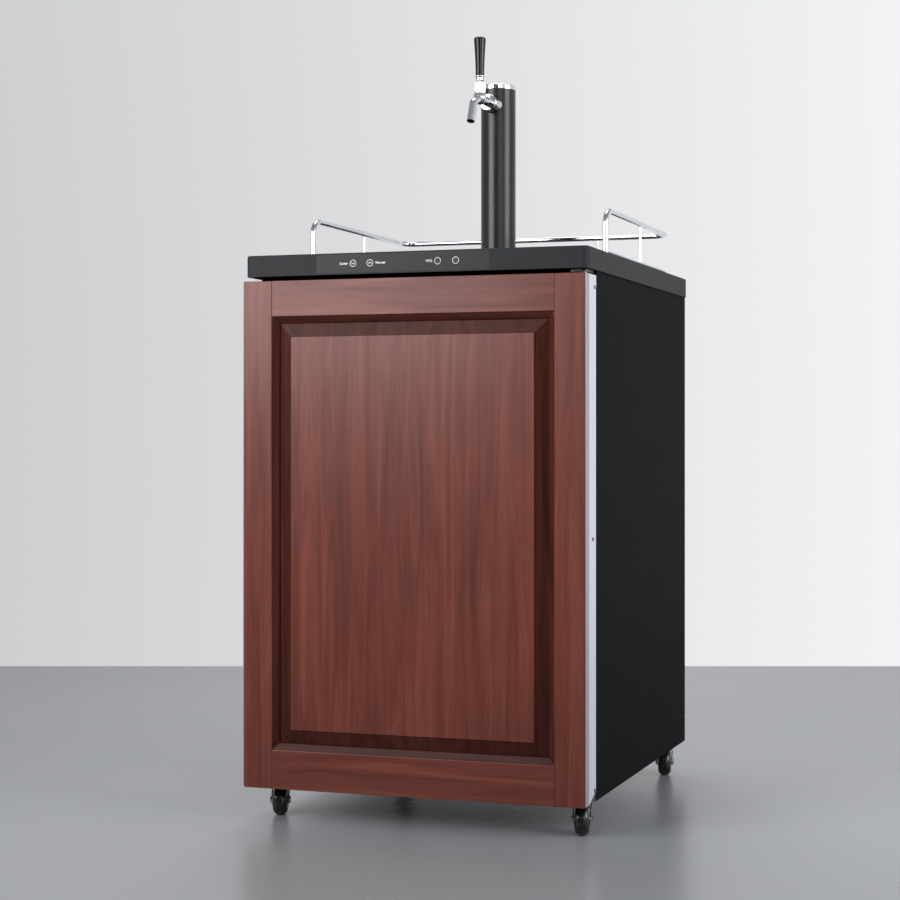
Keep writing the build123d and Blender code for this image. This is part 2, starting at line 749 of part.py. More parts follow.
def hinge_pins():
    low, high = tongue_z()
    bottom = rod_z(HINGE_X, HINGE_PY, (low[0], BODY_Z[0] + PIN_REACH), PIN_R)
    return bottom, rod_z(HINGE_X, HINGE_PY, (BODY_Z[1] - PIN_REACH, high[1]), PIN_R)


# Worktop and controls


def worktop():
    """Hollow moulded worktop with ribs, the tower's boss and the control recess."""
    y = (WORKTOP_Y0, BACK)
    slab = block(both(WORKTOP_X), y, (TOP_Z0, TOP_Z1))
    slab = fillet(slab.edges().filter_by(Axis.Z), WORKTOP_R)
    slab = fillet(slab.faces().sort_by(Axis.Z)[-1].edges(), WORKTOP_EDGE_R)
    inner_x = WORKTOP_X - WORKTOP_WALL
    inner_y = (WORKTOP_Y0 + WORKTOP_FACE, BACK - BACK_INSET - WORKTOP_WALL)
    slab -= block(both(inner_x), inner_y, (TOP_Z0, TOP_Z1 - WORKTOP_WALL))
    rib_y = (CAB_FRONT + TONGUE_TOP_REACH, inner_y[1])
    for x in (-RIB_X, RIB_X):
        rib_x = (x - WORKTOP_WALL / 2, x + WORKTOP_WALL / 2)
        slab += block(rib_x, rib_y, (DECK_Z, TOP_Z1 - WORKTOP_WALL))
    slab += rod_z(0, TOWER_PY, (DECK_Z, TOP_Z1 - WORKTOP_WALL), TOWER_BOSS_R)
    slab -= duct(DUCT_R, (DECK_Z, TOP_Z1))
    slab -= block(PANEL_X, (WORKTOP_Y0, WORKTOP_Y0 + PANEL_T), panel_z())
    for x in KEY_X.values():
        slab -= rod_y(x, (WORKTOP_Y0, WORKTOP_Y0 + WORKTOP_FACE), KEY_Z, KEY_HOLE_R)
    for x in board_posts():
        slab += rod_y(x, (WORKTOP_Y0 + WORKTOP_FACE, board_y()[0]), KEY_Z, POST_R)
    for hole in flange_shanks(FLANGE_SCREW_R + SEAT):
        slab -= hole
    return slab


def panel_z():
    return (TOP_Z0 + PANEL_MARGIN, TOP_Z1 - PANEL_MARGIN)


def control_panel():
    panel = block(PANEL_X, (WORKTOP_Y0, WORKTOP_Y0 + PANEL_T), panel_z())
    for x in KEY_X.values():
        panel -= rod_y(x, (WORKTOP_Y0, WORKTOP_Y0 + PANEL_T), KEY_Z, KEY_R + AIR)
    return panel


def key_y():
    """Face and tail of a key at rest."""
    return (WORKTOP_Y0 - KEY_PROUD, board_y()[0] - SWITCH / 2 - KEY_TRAVEL - AIR)


def key(x):
    cap = rod_y(x, key_y(), KEY_Z, KEY_R)
    flange = WORKTOP_Y0 + PANEL_T + AIR
    return cap + rod_y(x, (flange, flange + KEY_FLANGE_T), KEY_Z, KEY_FLANGE_R)


def board_y():
    low = WORKTOP_Y0 + WORKTOP_FACE + BOARD_BACK
    return (low, low + BOARD_T)


def board_posts():
    return (BOARD_X[0] + 2 * POST_R, BOARD_X[1] - 2 * POST_R)


def control_board():
    board = block(BOARD_X, board_y(), (KEY_Z - BOARD_H / 2, KEY_Z + BOARD_H / 2))
    for x in KEY_X.values():
        half = (x - SWITCH / 2, x + SWITCH / 2)
        switch_y = (board_y()[0] - SWITCH / 2, board_y()[0])
        board += block(half, switch_y, (KEY_Z - SWITCH / 2, KEY_Z + SWITCH / 2))
    return board


# Guard rail


def rail_points(start_z, y_front, z):
    rear = FRONT + RAIL_REAR
    middle = [(-RAIL_X, rear, z), (RAIL_X, rear, z)]
    if start_z is None:
        return [(-RAIL_X, y_front, z), *middle, (RAIL_X, y_front, z)]
    left = [(-RAIL_X, y_front, start_z), (-RAIL_X, y_front, z)]
    return left + middle + [(x * -1, y, level) for x, y, level in reversed(left)]


def guard_rail():
    return pipe(rail_points(TOP_Z1, FRONT + RAIL_FRONT, TOP_Z1 + RAIL_H), RAIL_BEND, RAIL_R)


def post_places():
    sides = [(side * RAIL_X, FRONT + SIDE_POST_Y) for side in (-1, 1)]
    return sides + [(x, FRONT + RAIL_REAR) for x in REAR_POST_X]


def lower_rail():
    start = FRONT + RAIL_FRONT + RAIL_R + AIR
    rod = pipe(rail_points(None, start, TOP_Z1 + ROD_H), RAIL_BEND, ROD_R)
    for x, y in post_places():
        rod -= rod_z(x, y, (TOP_Z1, TOP_Z1 + 2 * ROD_H), POST_THIN_R + SEAT)
    return rod


def rail_posts():
    """Thin posts with their shoes, the shoes of the front legs and the rear feet."""
    parts = []
    for x, y in post_places():
        post = rod_z(x, y, (TOP_Z1, TOP_Z1 + RAIL_H - RAIL_R - SEAT), POST_THIN_R)
        parts.append(post + rod_z(x, y, (TOP_Z1, TOP_Z1 + SHOE_T), SHOE_THIN_R))
    for side in (-1, 1):
        x, y = side * RAIL_X, FRONT + RAIL_FRONT
        shoe = rod_z(x, y, (TOP_Z1, TOP_Z1 + SHOE_T), SHOE_R)
        parts.append(shoe - rod_z(x, y, (TOP_Z1, TOP_Z1 + SHOE_T), RAIL_R + SEAT))
        foot_z = (TOP_Z1, TOP_Z1 + ROD_H - ROD_R - SEAT)
        parts.append(rod_z(x, FRONT + FOOT_Y, foot_z, FOOT_R))
    return parts


# Drip tray


def tray_y(inset):
    return (FRONT + TRAY_Y[0] + inset, FRONT + TRAY_Y[1] - inset)


def tray_box(inset, z):
    body = block(both(TRAY_W / 2 - inset), tray_y(inset), z)
    return fillet(body.edges().filter_by(Axis.Z), TRAY_R - inset)


def drip_tray():
    tray = tray_box(0, (TOP_Z1, TOP_Z1 + TRAY_H))
    ledge = TOP_Z1 + TRAY_H - GRILLE_T
    tray -= tray_box(TRAY_WALL, (ledge, TOP_Z1 + TRAY_H))
    return tray - tray_box(2 * TRAY_WALL, (TOP_Z1 + TRAY_WALL, ledge))


def drip_grille():
    top = TOP_Z1 + TRAY_H
    plate = tray_box(TRAY_WALL + GRILLE_AIR, (top - GRILLE_T, top))
    y = tray_y(TRAY_R)
    pitch = (TRAY_W - 2 * TRAY_R) / GRILLE_SLOTS
    for step in range(GRILLE_SLOTS):
        x = -TRAY_W / 2 + TRAY_R + (step + 0.5) * pitch
        plate -= block((x - pitch / 4, x + pitch / 4), y, (top - GRILLE_T, top))
    return plate


# Tower


def ahead(reach):
    """Y of a point in front of the tower's axis."""
    return TOWER_PY - reach


def tower_flange():
    flange = duct(FLANGE_R, (TOP_Z1, TOP_Z1 + FLANGE_T))
    flange = fillet(flange.faces().sort_by(Axis.Z)[-1].edges(), FLANGE_T / 2)
    flange -= duct(DUCT_R, (TOP_Z1, TOP_Z1 + FLANGE_T))
    for hole in flange_shanks(FLANGE_SCREW_R + SEAT):
        flange -= hole
    return flange


def flange_shanks(radius):
    top = TOP_Z1 + FLANGE_T
    shanks = []
    for turn in range(4):
        angle = math.radians(45 + 90 * turn)
        x, y = FLANGE_PCD_R * math.cos(angle), TOWER_PY + FLANGE_PCD_R * math.sin(angle)
        shanks.append(rod_z(x, y, (top - FLANGE_SCREW_L, top), radius))
    return shanks


def flange_screws():
    top = TOP_Z1 + FLANGE_T
    parts = []
    for shank in flange_shanks(FLANGE_SCREW_R):
        centre = shank.center()
        head = rod_z(centre.X, centre.Y, (top, top + FLANGE_HEAD_T), FLANGE_HEAD_R)
        parts.append(shank + fillet(head.faces().sort_by(Axis.Z)[-1].edges(), FLANGE_HEAD_T / 2))
    return parts


def tower_z():
    return (TOP_Z1 + FLANGE_T, TOP_Z1 + TOWER_H)


def tower_tube():
    tube = duct(TOWER_R, tower_z()) - duct(TOWER_R - TOWER_WALL, tower_z())
    return tube - rod_y(0, (ahead(2 * TOWER_R), TOWER_PY), TAP_Z, SHANK_R + SEAT)


def tower_cap():
    top = tower_z()[1]
    cap = duct(TOWER_R + CAP_LIP, (top, top + CAP_T))
    cap = fillet(cap.faces().sort_by(Axis.Z)[-1].edges(), CAP_T / 3)
    return cap + duct(TOWER_R - TOWER_WALL - AIR, (top - CAP_PLUG, top))


def collar_front():
    return ahead(TOWER_R + COLLAR_T)


def faucet_shank():
    """Threaded shank through the tower's wall, with a bore for the beer."""
    y = (collar_front() - NUT_T + AIR, TOWER_PY + SHANK_BACK)
    return rod_y(0, y, TAP_Z, SHANK_R) - rod_y(0, y, TAP_Z, SPOUT_BORE)


def shank_collar():
    y = (collar_front(), TOWER_PY)
    cone = Cone(COLLAR_ROOT_R, COLLAR_NOSE_R, y[1] - y[0])
    collar = Pos(0, sum(y) / 2, TAP_Z) * Rot(90, 0, 0) * cone
    collar -= duct(TOWER_R + SEAT, (TAP_Z - 2 * COLLAR_ROOT_R, TAP_Z + 2 * COLLAR_ROOT_R))
    collar -= rod_y(0, (y[0], y[1]), TAP_Z, SHANK_R + SEAT)
    return collar.solids().sort_by(Axis.Y)[0]


def nut_y():
    return (collar_front() - NUT_T, collar_front())


def faucet_nut():
    """Ring nut that holds the tap on the shank."""
    nut = fillet(rod_y(0, nut_y(), TAP_Z, NUT_R).edges().filter_by(GeomType.CIRCLE), NUT_EDGE_R)
    return nut - rod_y(0, nut_y(), TAP_Z, SHANK_R + SEAT)


def faucet_body():
    """Tap body: barrel, ball, bonnet seat and the curved spout, bored through."""
    back = nut_y()[0]
    body = rod_y(0, (LEVER_Y, back), TAP_Z, BARREL_R) + Pos(0, LEVER_Y, TAP_Z) * Sphere(BALL_R)
    body += rod_z(0, LEVER_Y, (TAP_Z, TOP_Z1 + BONNET_Z[0]), BONNET_R)
    above = (TOP_Z1 + BONNET_Z[0], LEVER_Z + BALL_R)
    body -= block(both(BALL_R), (LEVER_Y - BALL_R, LEVER_Y + BALL_R), above)
    body += rod_y(0, (back - SEAT_RING_T, back), TAP_Z, SEAT_RING_R)
    route = [
        (0, LEVER_Y, TAP_Z),
        (0, ahead(SPOUT_KNEE[0]), TOP_Z1 + SPOUT_KNEE[1]),
        (0, ahead(SPOUT_TIP[0]), TOP_Z1 + SPOUT_TIP[1]),
    ]
    body += pipe(route, SPOUT_BEND, SPOUT_R)
    body -= pipe(route, SPOUT_BEND, SPOUT_BORE)
    body -= rod_y(0, (ahead(VALVE_REACH[1]) - VALVE_AIR, back), TAP_Z, VALVE_R + VALVE_AIR)
    swing = LEVER_Z - LEVER_TIP_H - TOP_Z1
    room = swing * math.tan(math.radians(TAP_SWING)) + 2 * LEVER_TIP_R
    slot_x = both(VALVE_SLOT_W / 2 + VALVE_AIR)
    slot_z = (TOP_Z1 + LEVER_TIP_H - 2 * VALVE_AIR, LEVER_Z)
    body -= block(slot_x, (LEVER_Y - 2 * LEVER_TIP_R, LEVER_Y + room), slot_z)
    return body - rod_z(0, LEVER_Y, (LEVER_Z - LEVER_BALL_R - 2 * VALVE_AIR, LEVER_Z), BONNET_BORE)


def faucet_bonnet():
    """Bonnet nut over the lever's ball, with a flared mouth for its swing."""
    z = (TOP_Z1 + BONNET_Z[0], TOP_Z1 + BONNET_Z[1])
    bonnet = rod_z(0, LEVER_Y, z, BONNET_R)
    bonnet -= rod_z(0, LEVER_Y, z, BONNET_BORE)
    return bonnet - cone_z(0, LEVER_Y, (LEVER_Z, z[1]), (BONNET_BORE, BONNET_MOUTH))


def tap_lever():
    tip_z = TOP_Z1 + LEVER_TIP_H
    lever = Pos(0, LEVER_Y, LEVER_Z) * Sphere(LEVER_BALL_R)
    lever += rod_z(0, LEVER_Y, (tip_z, LEVER_Z), LEVER_TIP_R)
    return lever + rod_z(0, LEVER_Y, (LEVER_Z, TOP_Z1 + FERRULE_Z[1] + 2 * FERRULE_R[1]), LEVER_R)


def stud_hole(z):
    return rod_z(0, LEVER_Y, z, LEVER_R + SEAT)


def handle_ferrule():
    z = (TOP_Z1 + FERRULE_Z[0], TOP_Z1 + FERRULE_Z[1])
    return cone_z(0, LEVER_Y, z, FERRULE_R) - stud_hole(z)


def tap_handle():
    """Tapered handle, wider towards the top, on the lever's stud."""
    z = (TOP_Z1 + FERRULE_Z[1], TOP_Z1 + HANDLE_TOP)
    handle = cone_z(0, LEVER_Y, z, HANDLE_R)
    handle = fillet(handle.faces().sort_by(Axis.Z)[-1].edges(), HANDLE_R[1] / 3)
    return handle - stud_hole((z[0], z[0] + 2 * FERRULE_R[1] + AIR))


def valve_stem():
    y = (ahead(VALVE_REACH[1]), ahead(VALVE_REACH[0]))
    stem = rod_y(0, y, TAP_Z, VALVE_R)
    slot_y = (LEVER_Y - VALVE_SLOT / 2, LEVER_Y + VALVE_SLOT / 2)
    return stem - block(both(VALVE_SLOT_W / 2), slot_y, (TAP_Z - VALVE_SLOT_D, TAP_Z + VALVE_R))


# Casters


def caster_places():
    y = {"front": CAB_FRONT + CASTER_FRONT, "rear": CAB_BACK - CASTER_REAR}
    x = {"left": -CASTER_X, "right": CASTER_X}
    return {f"{row}_{side}": (x[side], y[row]) for row in y for side in x}


def caster_mount(x, y):
    """Plate, bearing race and kingpin with its head."""
    race = (PAN_Z - MOUNT_T - RACE_T, PAN_Z - MOUNT_T)
    half = MOUNT_W / 2
    mount = block((x - half, x + half), (y - half, y + half), (PAN_Z - MOUNT_T, PAN_Z))
    mount += rod_z(x, y, race, RACE_R)
    low = race[0] - RACE_AIR - FORK_TOP_T - RACE_AIR
    mount += rod_z(x, y, (low, race[0]), AXLE_R)
    return mount + rod_z(x, y, (low - KINGPIN_HEAD_T, low), KINGPIN_HEAD_R)


def placed(name, shape):
    x, y = caster_places()[name]
    return Pos(x, y, 0) * Rot(0, 0, CASTER_YAW[name]) * shape


def caster_fork(name):
    """Pressed fork and its riveted axle."""
    top = PAN_Z - MOUNT_T - RACE_T - RACE_AIR
    inner = HUB_W / 2 + FORK_AIR
    outer = inner + FORK_PLATE
    fork = block(both(outer), FORK_TOP_Y, (top - FORK_TOP_T, top))
    side = [
        (FORK_TOP_Y[1], top),
        (-TRAIL + FORK_TOP_T, top),
        (-TRAIL - FORK_HEEL, WHEEL_R + FORK_WAIST),
        (-TRAIL, WHEEL_R - FORK_HEEL),
        (-TRAIL + FORK_HEEL, WHEEL_R + FORK_WAIST),
        (FORK_TOE, top - 2 * FORK_TOP_T),
    ]
    for x in (-outer, inner):
        plane = Plane((x, 0, 0), x_dir=(0, 1, 0), z_dir=(1, 0, 0))
        fork += extrude(plane * make_face(Polyline(*side, close=True)), FORK_PLATE)
    fork -= rod_z(0, 0, (top - FORK_TOP_T, top), AXLE_R + PIN_AIR)
    fork -= rod_x(both(outer), -TRAIL, WHEEL_R, AXLE_R + SEAT / 2)
    axle = rod_x(both(outer + RIVET_T), -TRAIL, WHEEL_R, AXLE_R)
    for x in ((-outer - RIVET_T, -outer), (outer, outer + RIVET_T)):
        axle += rod_x(x, -TRAIL, WHEEL_R, RIVET_R)
    return placed(name, fork), placed(name, axle)


def caster_wheel(name):
    wheel = rod_x(both(WHEEL_W / 2), -TRAIL, WHEEL_R, WHEEL_R)
    wheel = fillet(wheel.edges().filter_by(GeomType.CIRCLE), TREAD_R)
    wheel += rod_x(both(HUB_W / 2), -TRAIL, WHEEL_R, HUB_R)
    return placed(name, wheel - rod_x(both(HUB_W / 2), -TRAIL, WHEEL_R, AXLE_R + PIN_AIR))


def main():
    os.makedirs("parts", exist_ok=True)
    save("cabinet_wrap", cabinet_wrap())
    save("foam_body", foam_body())
    save("inner_liner", inner_liner())
    save("base_sheet", base_sheet())
    save("compressor_tray", compressor_tray())
    save("back_panel", back_panel())
    save("rear_grille", rear_grille())
    save("power_gland", power_gland())
    can, feet = compressor()
    save("compressor", can, *feet)
    save("condenser", condenser())
    save("condenser_fan_frame", condenser_fan_frame())
    save("condenser_fan_rotor", condenser_fan_rotor())
    save("evaporator_plate", evaporator_plate())

    frame = wood_frame()
    save("door_stiles", *door_stiles(frame))
    save("door_rails", *door_rails(frame))
    save("door_panel", door_panel())
    save("door_skin", door_skin())
    save("door_foam", door_foam())
    save("door_liner", door_liner())
    save("door_gasket", door_gasket())
    save("trim_sides", *trim_sides())
    save("trim_ends", *trim_ends())
    save("trim_screws", *trim_screws())
    save("hinge_bushes", *hinge_bushes())
    save("hinge_plates", *hinge_plates())
    save("hinge_pins", *hinge_pins())

    save("worktop", worktop())
    save("control_panel", control_panel())
    save("control_board", control_board())
    for name, x in KEY_X.items():
        save(f"key_{name}", key(x))
    save("guard_rail", guard_rail())
    save("lower_rail", lower_rail())
    save("rail_posts", *rail_posts())
    save("drip_tray", drip_tray())
    save("drip_grille", drip_grille())

    save("tower_flange", tower_flange())
    save("flange_screws", *flange_screws())
    save("tower_tube", tower_tube())
    save("tower_cap", tower_cap())
    save("faucet_shank", faucet_shank())
    save("shank_collar", shank_collar())
    save("faucet_nut", faucet_nut())
    save("faucet_body", faucet_body())
    save("faucet_bonnet", faucet_bonnet())
    save("tap_lever", tap_lever())
    save("handle_ferrule", handle_ferrule())
    save("tap_handle", tap_handle())
    save("valve_stem", valve_stem())

    save("caster_mounts", *[caster_mount(x, y) for x, y in caster_places().values()])
    for name in caster_places():
        save(f"fork_{name}", *caster_fork(name))
        save(f"wheel_{name}", caster_wheel(name))


main()
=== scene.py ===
"""Finished look of a one-tap draught beer cooler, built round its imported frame."""

import json
import math

import bpy
from bpy.props import FloatProperty, FloatVectorProperty, IntProperty, PointerProperty
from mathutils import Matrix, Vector

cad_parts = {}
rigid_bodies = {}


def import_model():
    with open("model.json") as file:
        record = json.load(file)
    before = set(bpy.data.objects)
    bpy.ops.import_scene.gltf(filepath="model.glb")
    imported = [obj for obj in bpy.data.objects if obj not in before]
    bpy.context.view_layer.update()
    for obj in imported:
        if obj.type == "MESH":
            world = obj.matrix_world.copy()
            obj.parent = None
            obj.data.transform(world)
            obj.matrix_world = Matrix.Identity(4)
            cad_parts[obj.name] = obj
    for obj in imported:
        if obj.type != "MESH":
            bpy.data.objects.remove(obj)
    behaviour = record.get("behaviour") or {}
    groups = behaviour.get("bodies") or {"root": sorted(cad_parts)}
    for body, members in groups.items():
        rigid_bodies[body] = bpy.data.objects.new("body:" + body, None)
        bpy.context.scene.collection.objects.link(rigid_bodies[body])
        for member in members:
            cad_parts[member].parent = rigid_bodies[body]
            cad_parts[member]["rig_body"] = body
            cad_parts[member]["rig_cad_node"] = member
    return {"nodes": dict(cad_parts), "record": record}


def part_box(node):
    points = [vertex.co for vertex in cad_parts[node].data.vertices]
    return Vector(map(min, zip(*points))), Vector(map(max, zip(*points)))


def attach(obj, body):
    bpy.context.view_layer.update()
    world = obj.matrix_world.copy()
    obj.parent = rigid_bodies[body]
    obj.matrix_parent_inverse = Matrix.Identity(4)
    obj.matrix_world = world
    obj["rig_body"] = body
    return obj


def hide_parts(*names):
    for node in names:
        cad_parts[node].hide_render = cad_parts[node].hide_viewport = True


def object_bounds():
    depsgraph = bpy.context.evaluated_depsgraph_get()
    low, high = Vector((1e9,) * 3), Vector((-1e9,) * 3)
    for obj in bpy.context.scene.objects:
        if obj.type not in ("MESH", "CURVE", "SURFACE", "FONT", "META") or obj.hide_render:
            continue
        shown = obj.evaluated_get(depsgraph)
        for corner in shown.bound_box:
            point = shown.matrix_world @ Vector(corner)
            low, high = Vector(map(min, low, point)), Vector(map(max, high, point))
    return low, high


bl_info = {
    "name": "Draught Cooler",
    "version": (1, 0, 0),
    "blender": (4, 5, 0),
    "location": "View3D > Sidebar > Cooler",
    "description": "Builds the finished look of a one-tap draught beer cooler",
    "category": "Object",
}

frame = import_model()
cad_low, cad_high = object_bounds()

BODIES = frame["record"]["behaviour"]["bodies"]
BODY_OF = {node: body for body, nodes in BODIES.items() for node in nodes}
CASTERS = ("front_left", "front_right", "rear_left", "rear_right")
WELD = 2e-6  # corners nearer than this are one
PRINT = 5e-5  # thickness of ink
SHARP = 50.0  # degrees between faces that meet at an edge
CAMERA_PLACE = (1.1153, -2.9549, 0.6408)
CAMERA_TURN = 16.8  # degrees
FLOOR_EDGE = 4.87  # how far ahead of the camera the floor ends


def colour(name, note, default):
    """A colour that a user can set."""
    return FloatVectorProperty(
        name=name, description=note, default=default, subtype="COLOR", size=3, min=0, max=1
    )


def length(name, note, default):
    """A length that a user can set, in metres."""
    return FloatProperty(name=name, description=note, default=default, unit="LENGTH", min=0)


class CoolerColours(bpy.types.PropertyGroup):
    wood_pale: colour("Pale wood", "Lightest streaks of the stained door", (0.215, 0.062, 0.043))
    wood_mid: colour("Middle wood", "Main tone of the stained door", (0.160, 0.041, 0.029))
    wood_dark: colour("Dark wood", "Late-wood lines of the stained door", (0.104, 0.026, 0.017))
    cabinet: colour("Cabinet paint", "Textured paint of the steel wrap", (0.0034, 0.0043, 0.0052))
    worktop: colour("Worktop", "Moulded worktop plastic", (0.019, 0.0215, 0.024))
    strip: colour("Control strip", "Smooth strip behind the keys", (0.015, 0.017, 0.019))
    tower: colour("Tower", "Glossy coating of the draught tower", (0.010, 0.010, 0.011))
    chrome: colour("Chrome", "Plated tap, rails and forks", (0.62, 0.63, 0.65))
    trim: colour("Door trim", "Main band of the door's edge profile", (0.63, 0.64, 0.72))
    trim_front: colour("Trim front band", "Band beside the wood", (0.36, 0.33, 0.37))
    liner: colour("Liner", "Formed plastic inside", (0.80, 0.82, 0.82))
    ink: colour("Ink", "Print on the control strip", (0.85, 0.87, 0.88))
    floor: colour("Floor", "Studio floor", (0.27, 0.28, 0.295))


class CoolerSizes(bpy.types.PropertyGroup):
    wood_edge: length("Wood edge", "Rounding of the door's wooden edges", 0.0009)
    metal_edge: length("Metal edge", "Rounding of sheet metal edges", 0.0003)
    plastic_edge: length("Plastic edge", "Rounding of moulded edges", 0.0006)
    plate_edge: length("Plated edge", "Rounding of machined, plated edges", 0.0003)
    letter: length("Letter height", "Height of the print by the keys", 0.0052)
    ring: length("Ring width", "Line width of the rings on the keys", 0.0007)
    tab_height: length("Cover tab height", "Cover at the trim's top", 0.032)
    tab_width: length("Cover tab width", "Width of that cover", 0.015)
    tab_thickness: length("Cover tab thickness", "How far that cover stands out", 0.0004)
    nut_flutes: IntProperty(name="Nut flutes", description="Grips round the ring nut", default=24, min=6)


def settings():
    """The scene's colours and sizes."""
    return bpy.context.scene.cooler_colours, bpy.context.scene.cooler_sizes


# Materials


def add(tree, kind, **values):
    """A node with its options and unlinked sockets set by name."""
    node = tree.nodes.new(kind)
    for key, value in values.items():
        if hasattr(node, key):
            setattr(node, key, value)
        else:
            node.inputs[key.replace("_", " ").title()].default_value = value
    return node


def noise(tree, scale, stretch=(1, 1, 1), detail=3.0, distortion=0.0, roughness=0.5):
    """Noise on the piece's own coordinates; a stretch under 1 draws it out along that axis."""
    place = add(tree, "ShaderNodeTexCoord")
    squeeze = add(tree, "ShaderNodeMapping")
    squeeze.inputs["Scale"].default_value = stretch
    cloud = add(
        tree, "ShaderNodeTexNoise", scale=scale, detail=detail, distortion=distortion, roughness=roughness
    )
    tree.links.new(place.outputs["Object"], squeeze.inputs["Vector"])
    tree.links.new(squeeze.outputs["Vector"], cloud.inputs["Vector"])
    return cloud.outputs["Fac"]


def ramp(tree, value, stops):
    """Colour ramp from (position, colour) stops."""
    band = add(tree, "ShaderNodeValToRGB")
    marks = band.color_ramp.elements
    while len(marks) < len(stops):
        marks.new(0.5)
    for mark, (position, shade) in zip(marks, stops):
        mark.position = position
        mark.color = (*shade, 1)
    tree.links.new(value, band.inputs["Fac"])
    return band.outputs["Color"]


def between(tree, value, low, high, start=0.3, end=0.7):
    """The noise's middle range turned into a range of numbers."""
    change = add(tree, "ShaderNodeMapRange")
    for socket, number in zip(("From Min", "From Max", "To Min", "To Max"), (start, end, low, high)):
        change.inputs[socket].default_value = number
    tree.links.new(value, change.inputs["Value"])
    return change.outputs["Result"]


def mixed(tree, share, first, second, how):
    """Two colours, given as sockets or values, blended in one way."""
    blend = add(tree, "ShaderNodeMix", data_type="RGBA", blend_type=how)
    for socket, value in ((blend.inputs[0], share), (blend.inputs[6], first), (blend.inputs[7], second)):
        if isinstance(value, bpy.types.NodeSocket):
            tree.links.new(value, socket)
        else:
            socket.default_value = value if isinstance(value, float) else (*value, 1)
    return blend.outputs[2]


def bumped(tree, shader, value, height, strength=1.0):
    """Adds relief of a real height to the shader, over any relief it has."""
    relief = add(tree, "ShaderNodeBump")
    relief.inputs["Distance"].default_value = height
    relief.inputs["Strength"].default_value = strength
    before = shader.inputs["Normal"].links
    if before:
        tree.links.new(before[0].from_socket, relief.inputs["Normal"])
    tree.links.new(value, relief.inputs["Height"])
    tree.links.new(relief.outputs["Normal"], shader.inputs["Normal"])


def material(name, shade, roughness, **sockets):
    """A material, its node tree and its shader; number sockets are given by name."""
    made = bpy.data.materials.new(name)
    made.use_nodes = True
    tree = made.node_tree
    shader = tree.nodes["Principled BSDF"]
    shader.inputs["Base Color"].default_value = (*shade, 1)
    shader.inputs["Roughness"].default_value = roughness
    for key, value in sockets.items():
        shader.inputs[key.replace("_", " ").title().replace("Ior", "IOR")].default_value = value
    return made, tree, shader


def tinted(tree, shader, shade, swing, value):
    """Colour that drifts a little darker and lighter than shade."""
    low = tuple(c * (1 - swing) for c in shade)
    high = tuple(min(1, c * (1 + swing)) for c in shade)
    tree.links.new(ramp(tree, value, [(0.3, low), (0.7, high)]), shader.inputs["Base Color"])


def stained_wood(name, along, depth=1.0):
    """Stained hardwood under satin varnish; grain along X or Z, colour multiplied by depth: below 1 it is
    painted shade, darker and less glossy, for recessed faces.
    """
    colours, _ = settings()
    # below full depth the shine is lowered too, as part of the painted shade
    gloss = 1.0 if depth == 1 else 0.3
    made, tree, shader = material(
        name,
        colours.wood_mid,
        0.34,
        specular_ior_level=0.2 * gloss,
        coat_weight=0.14 * gloss,
        coat_roughness=0.22,
    )
    run, cloud_run, pore_run = (
        tuple(share if axis == along else 1 for axis in "XYZ") for share in (0.06, 0.3, 0.02)
    )
    figure = noise(tree, 46, run, detail=8, distortion=0.9, roughness=0.58)
    tones = zip((0.30, 0.50, 0.70), (colours.wood_dark, colours.wood_mid, colours.wood_pale))
    base = ramp(tree, figure, [(place, tuple(depth * c for c in tone)) for place, tone in tones])
    cloud = noise(tree, 4.0, cloud_run, detail=5, distortion=0.8)
    blotch = ramp(tree, cloud, [(0.30, (0.74, 0.68, 0.68)), (0.70, (1.0, 1.0, 1.0))])
    base = mixed(tree, 1.0, base, blotch, "MULTIPLY")
    pores = noise(tree, 800, pore_run, detail=2, roughness=0.7)
    dark = ramp(tree, pores, [(0.32, (0.62, 0.58, 0.58)), (0.45, (1.0, 1.0, 1.0))])
    tree.links.new(mixed(tree, 0.6, base, dark, "MULTIPLY"), shader.inputs["Base Color"])
    tree.links.new(between(tree, figure, 0.42, 0.34), shader.inputs["Roughness"])
    bumped(tree, shader, pores, 0.00003, 0.5)
    return made


def textured_paint(name, shade, roughness=0.42, grain=900, height=0.00009, **sockets):
    """Powder paint with an orange-peel relief."""
    made, tree, shader = material(name, shade, roughness, **sockets)
    peel = noise(tree, grain, detail=2)
    tinted(tree, shader, shade, 0.16, noise(tree, 14, detail=5))
    tree.links.new(between(tree, peel, roughness - 0.07, roughness + 0.09), shader.inputs["Roughness"])
    bumped(tree, shader, peel, height)
    return made


def moulded(name, shade, roughness=0.4, grain=1500, height=0.00003, swing=0.07, **sockets):
    """Moulded plastic with a fine spark-eroded texture."""
    made, tree, shader = material(name, shade, roughness, **sockets)
    fine = noise(tree, grain, detail=1)
    tinted(tree, shader, shade, swing, noise(tree, 22, detail=4))
    tree.links.new(between(tree, fine, roughness - 0.05, roughness + 0.06), shader.inputs["Roughness"])
    bumped(tree, shader, fine, height)
    return made


def glossy(name, shade, roughness=0.12, **sockets):
    """Smooth coating with faint wipe marks and orange peel."""
    made, tree, shader = material(name, shade, roughness, coat_weight=0.08, coat_roughness=0.1, **sockets)
    tinted(tree, shader, shade, 0.1, noise(tree, 9, detail=3))
    wipe = noise(tree, 26, (1, 1, 0.3), detail=6)
    tree.links.new(between(tree, wipe, roughness - 0.03, roughness + 0.07), shader.inputs["Roughness"])
    bumped(tree, shader, noise(tree, 180, detail=1), 0.00001)
    return made


def plated(name, shade, roughness=0.08):
    """Bright plating, slightly cloudy where it has been wiped."""
    made, tree, shader = material(name, shade, roughness, metallic=1.0)
    cloud = noise(tree, 40, detail=6)
    tinted(tree, shader, shade, 0.05, noise(tree, 12, detail=3))
    tree.links.new(between(tree, cloud, roughness - 0.03, roughness + 0.06), shader.inputs["Roughness"])
    bumped(tree, shader, noise(tree, 300, detail=2), 0.000004)
    return made


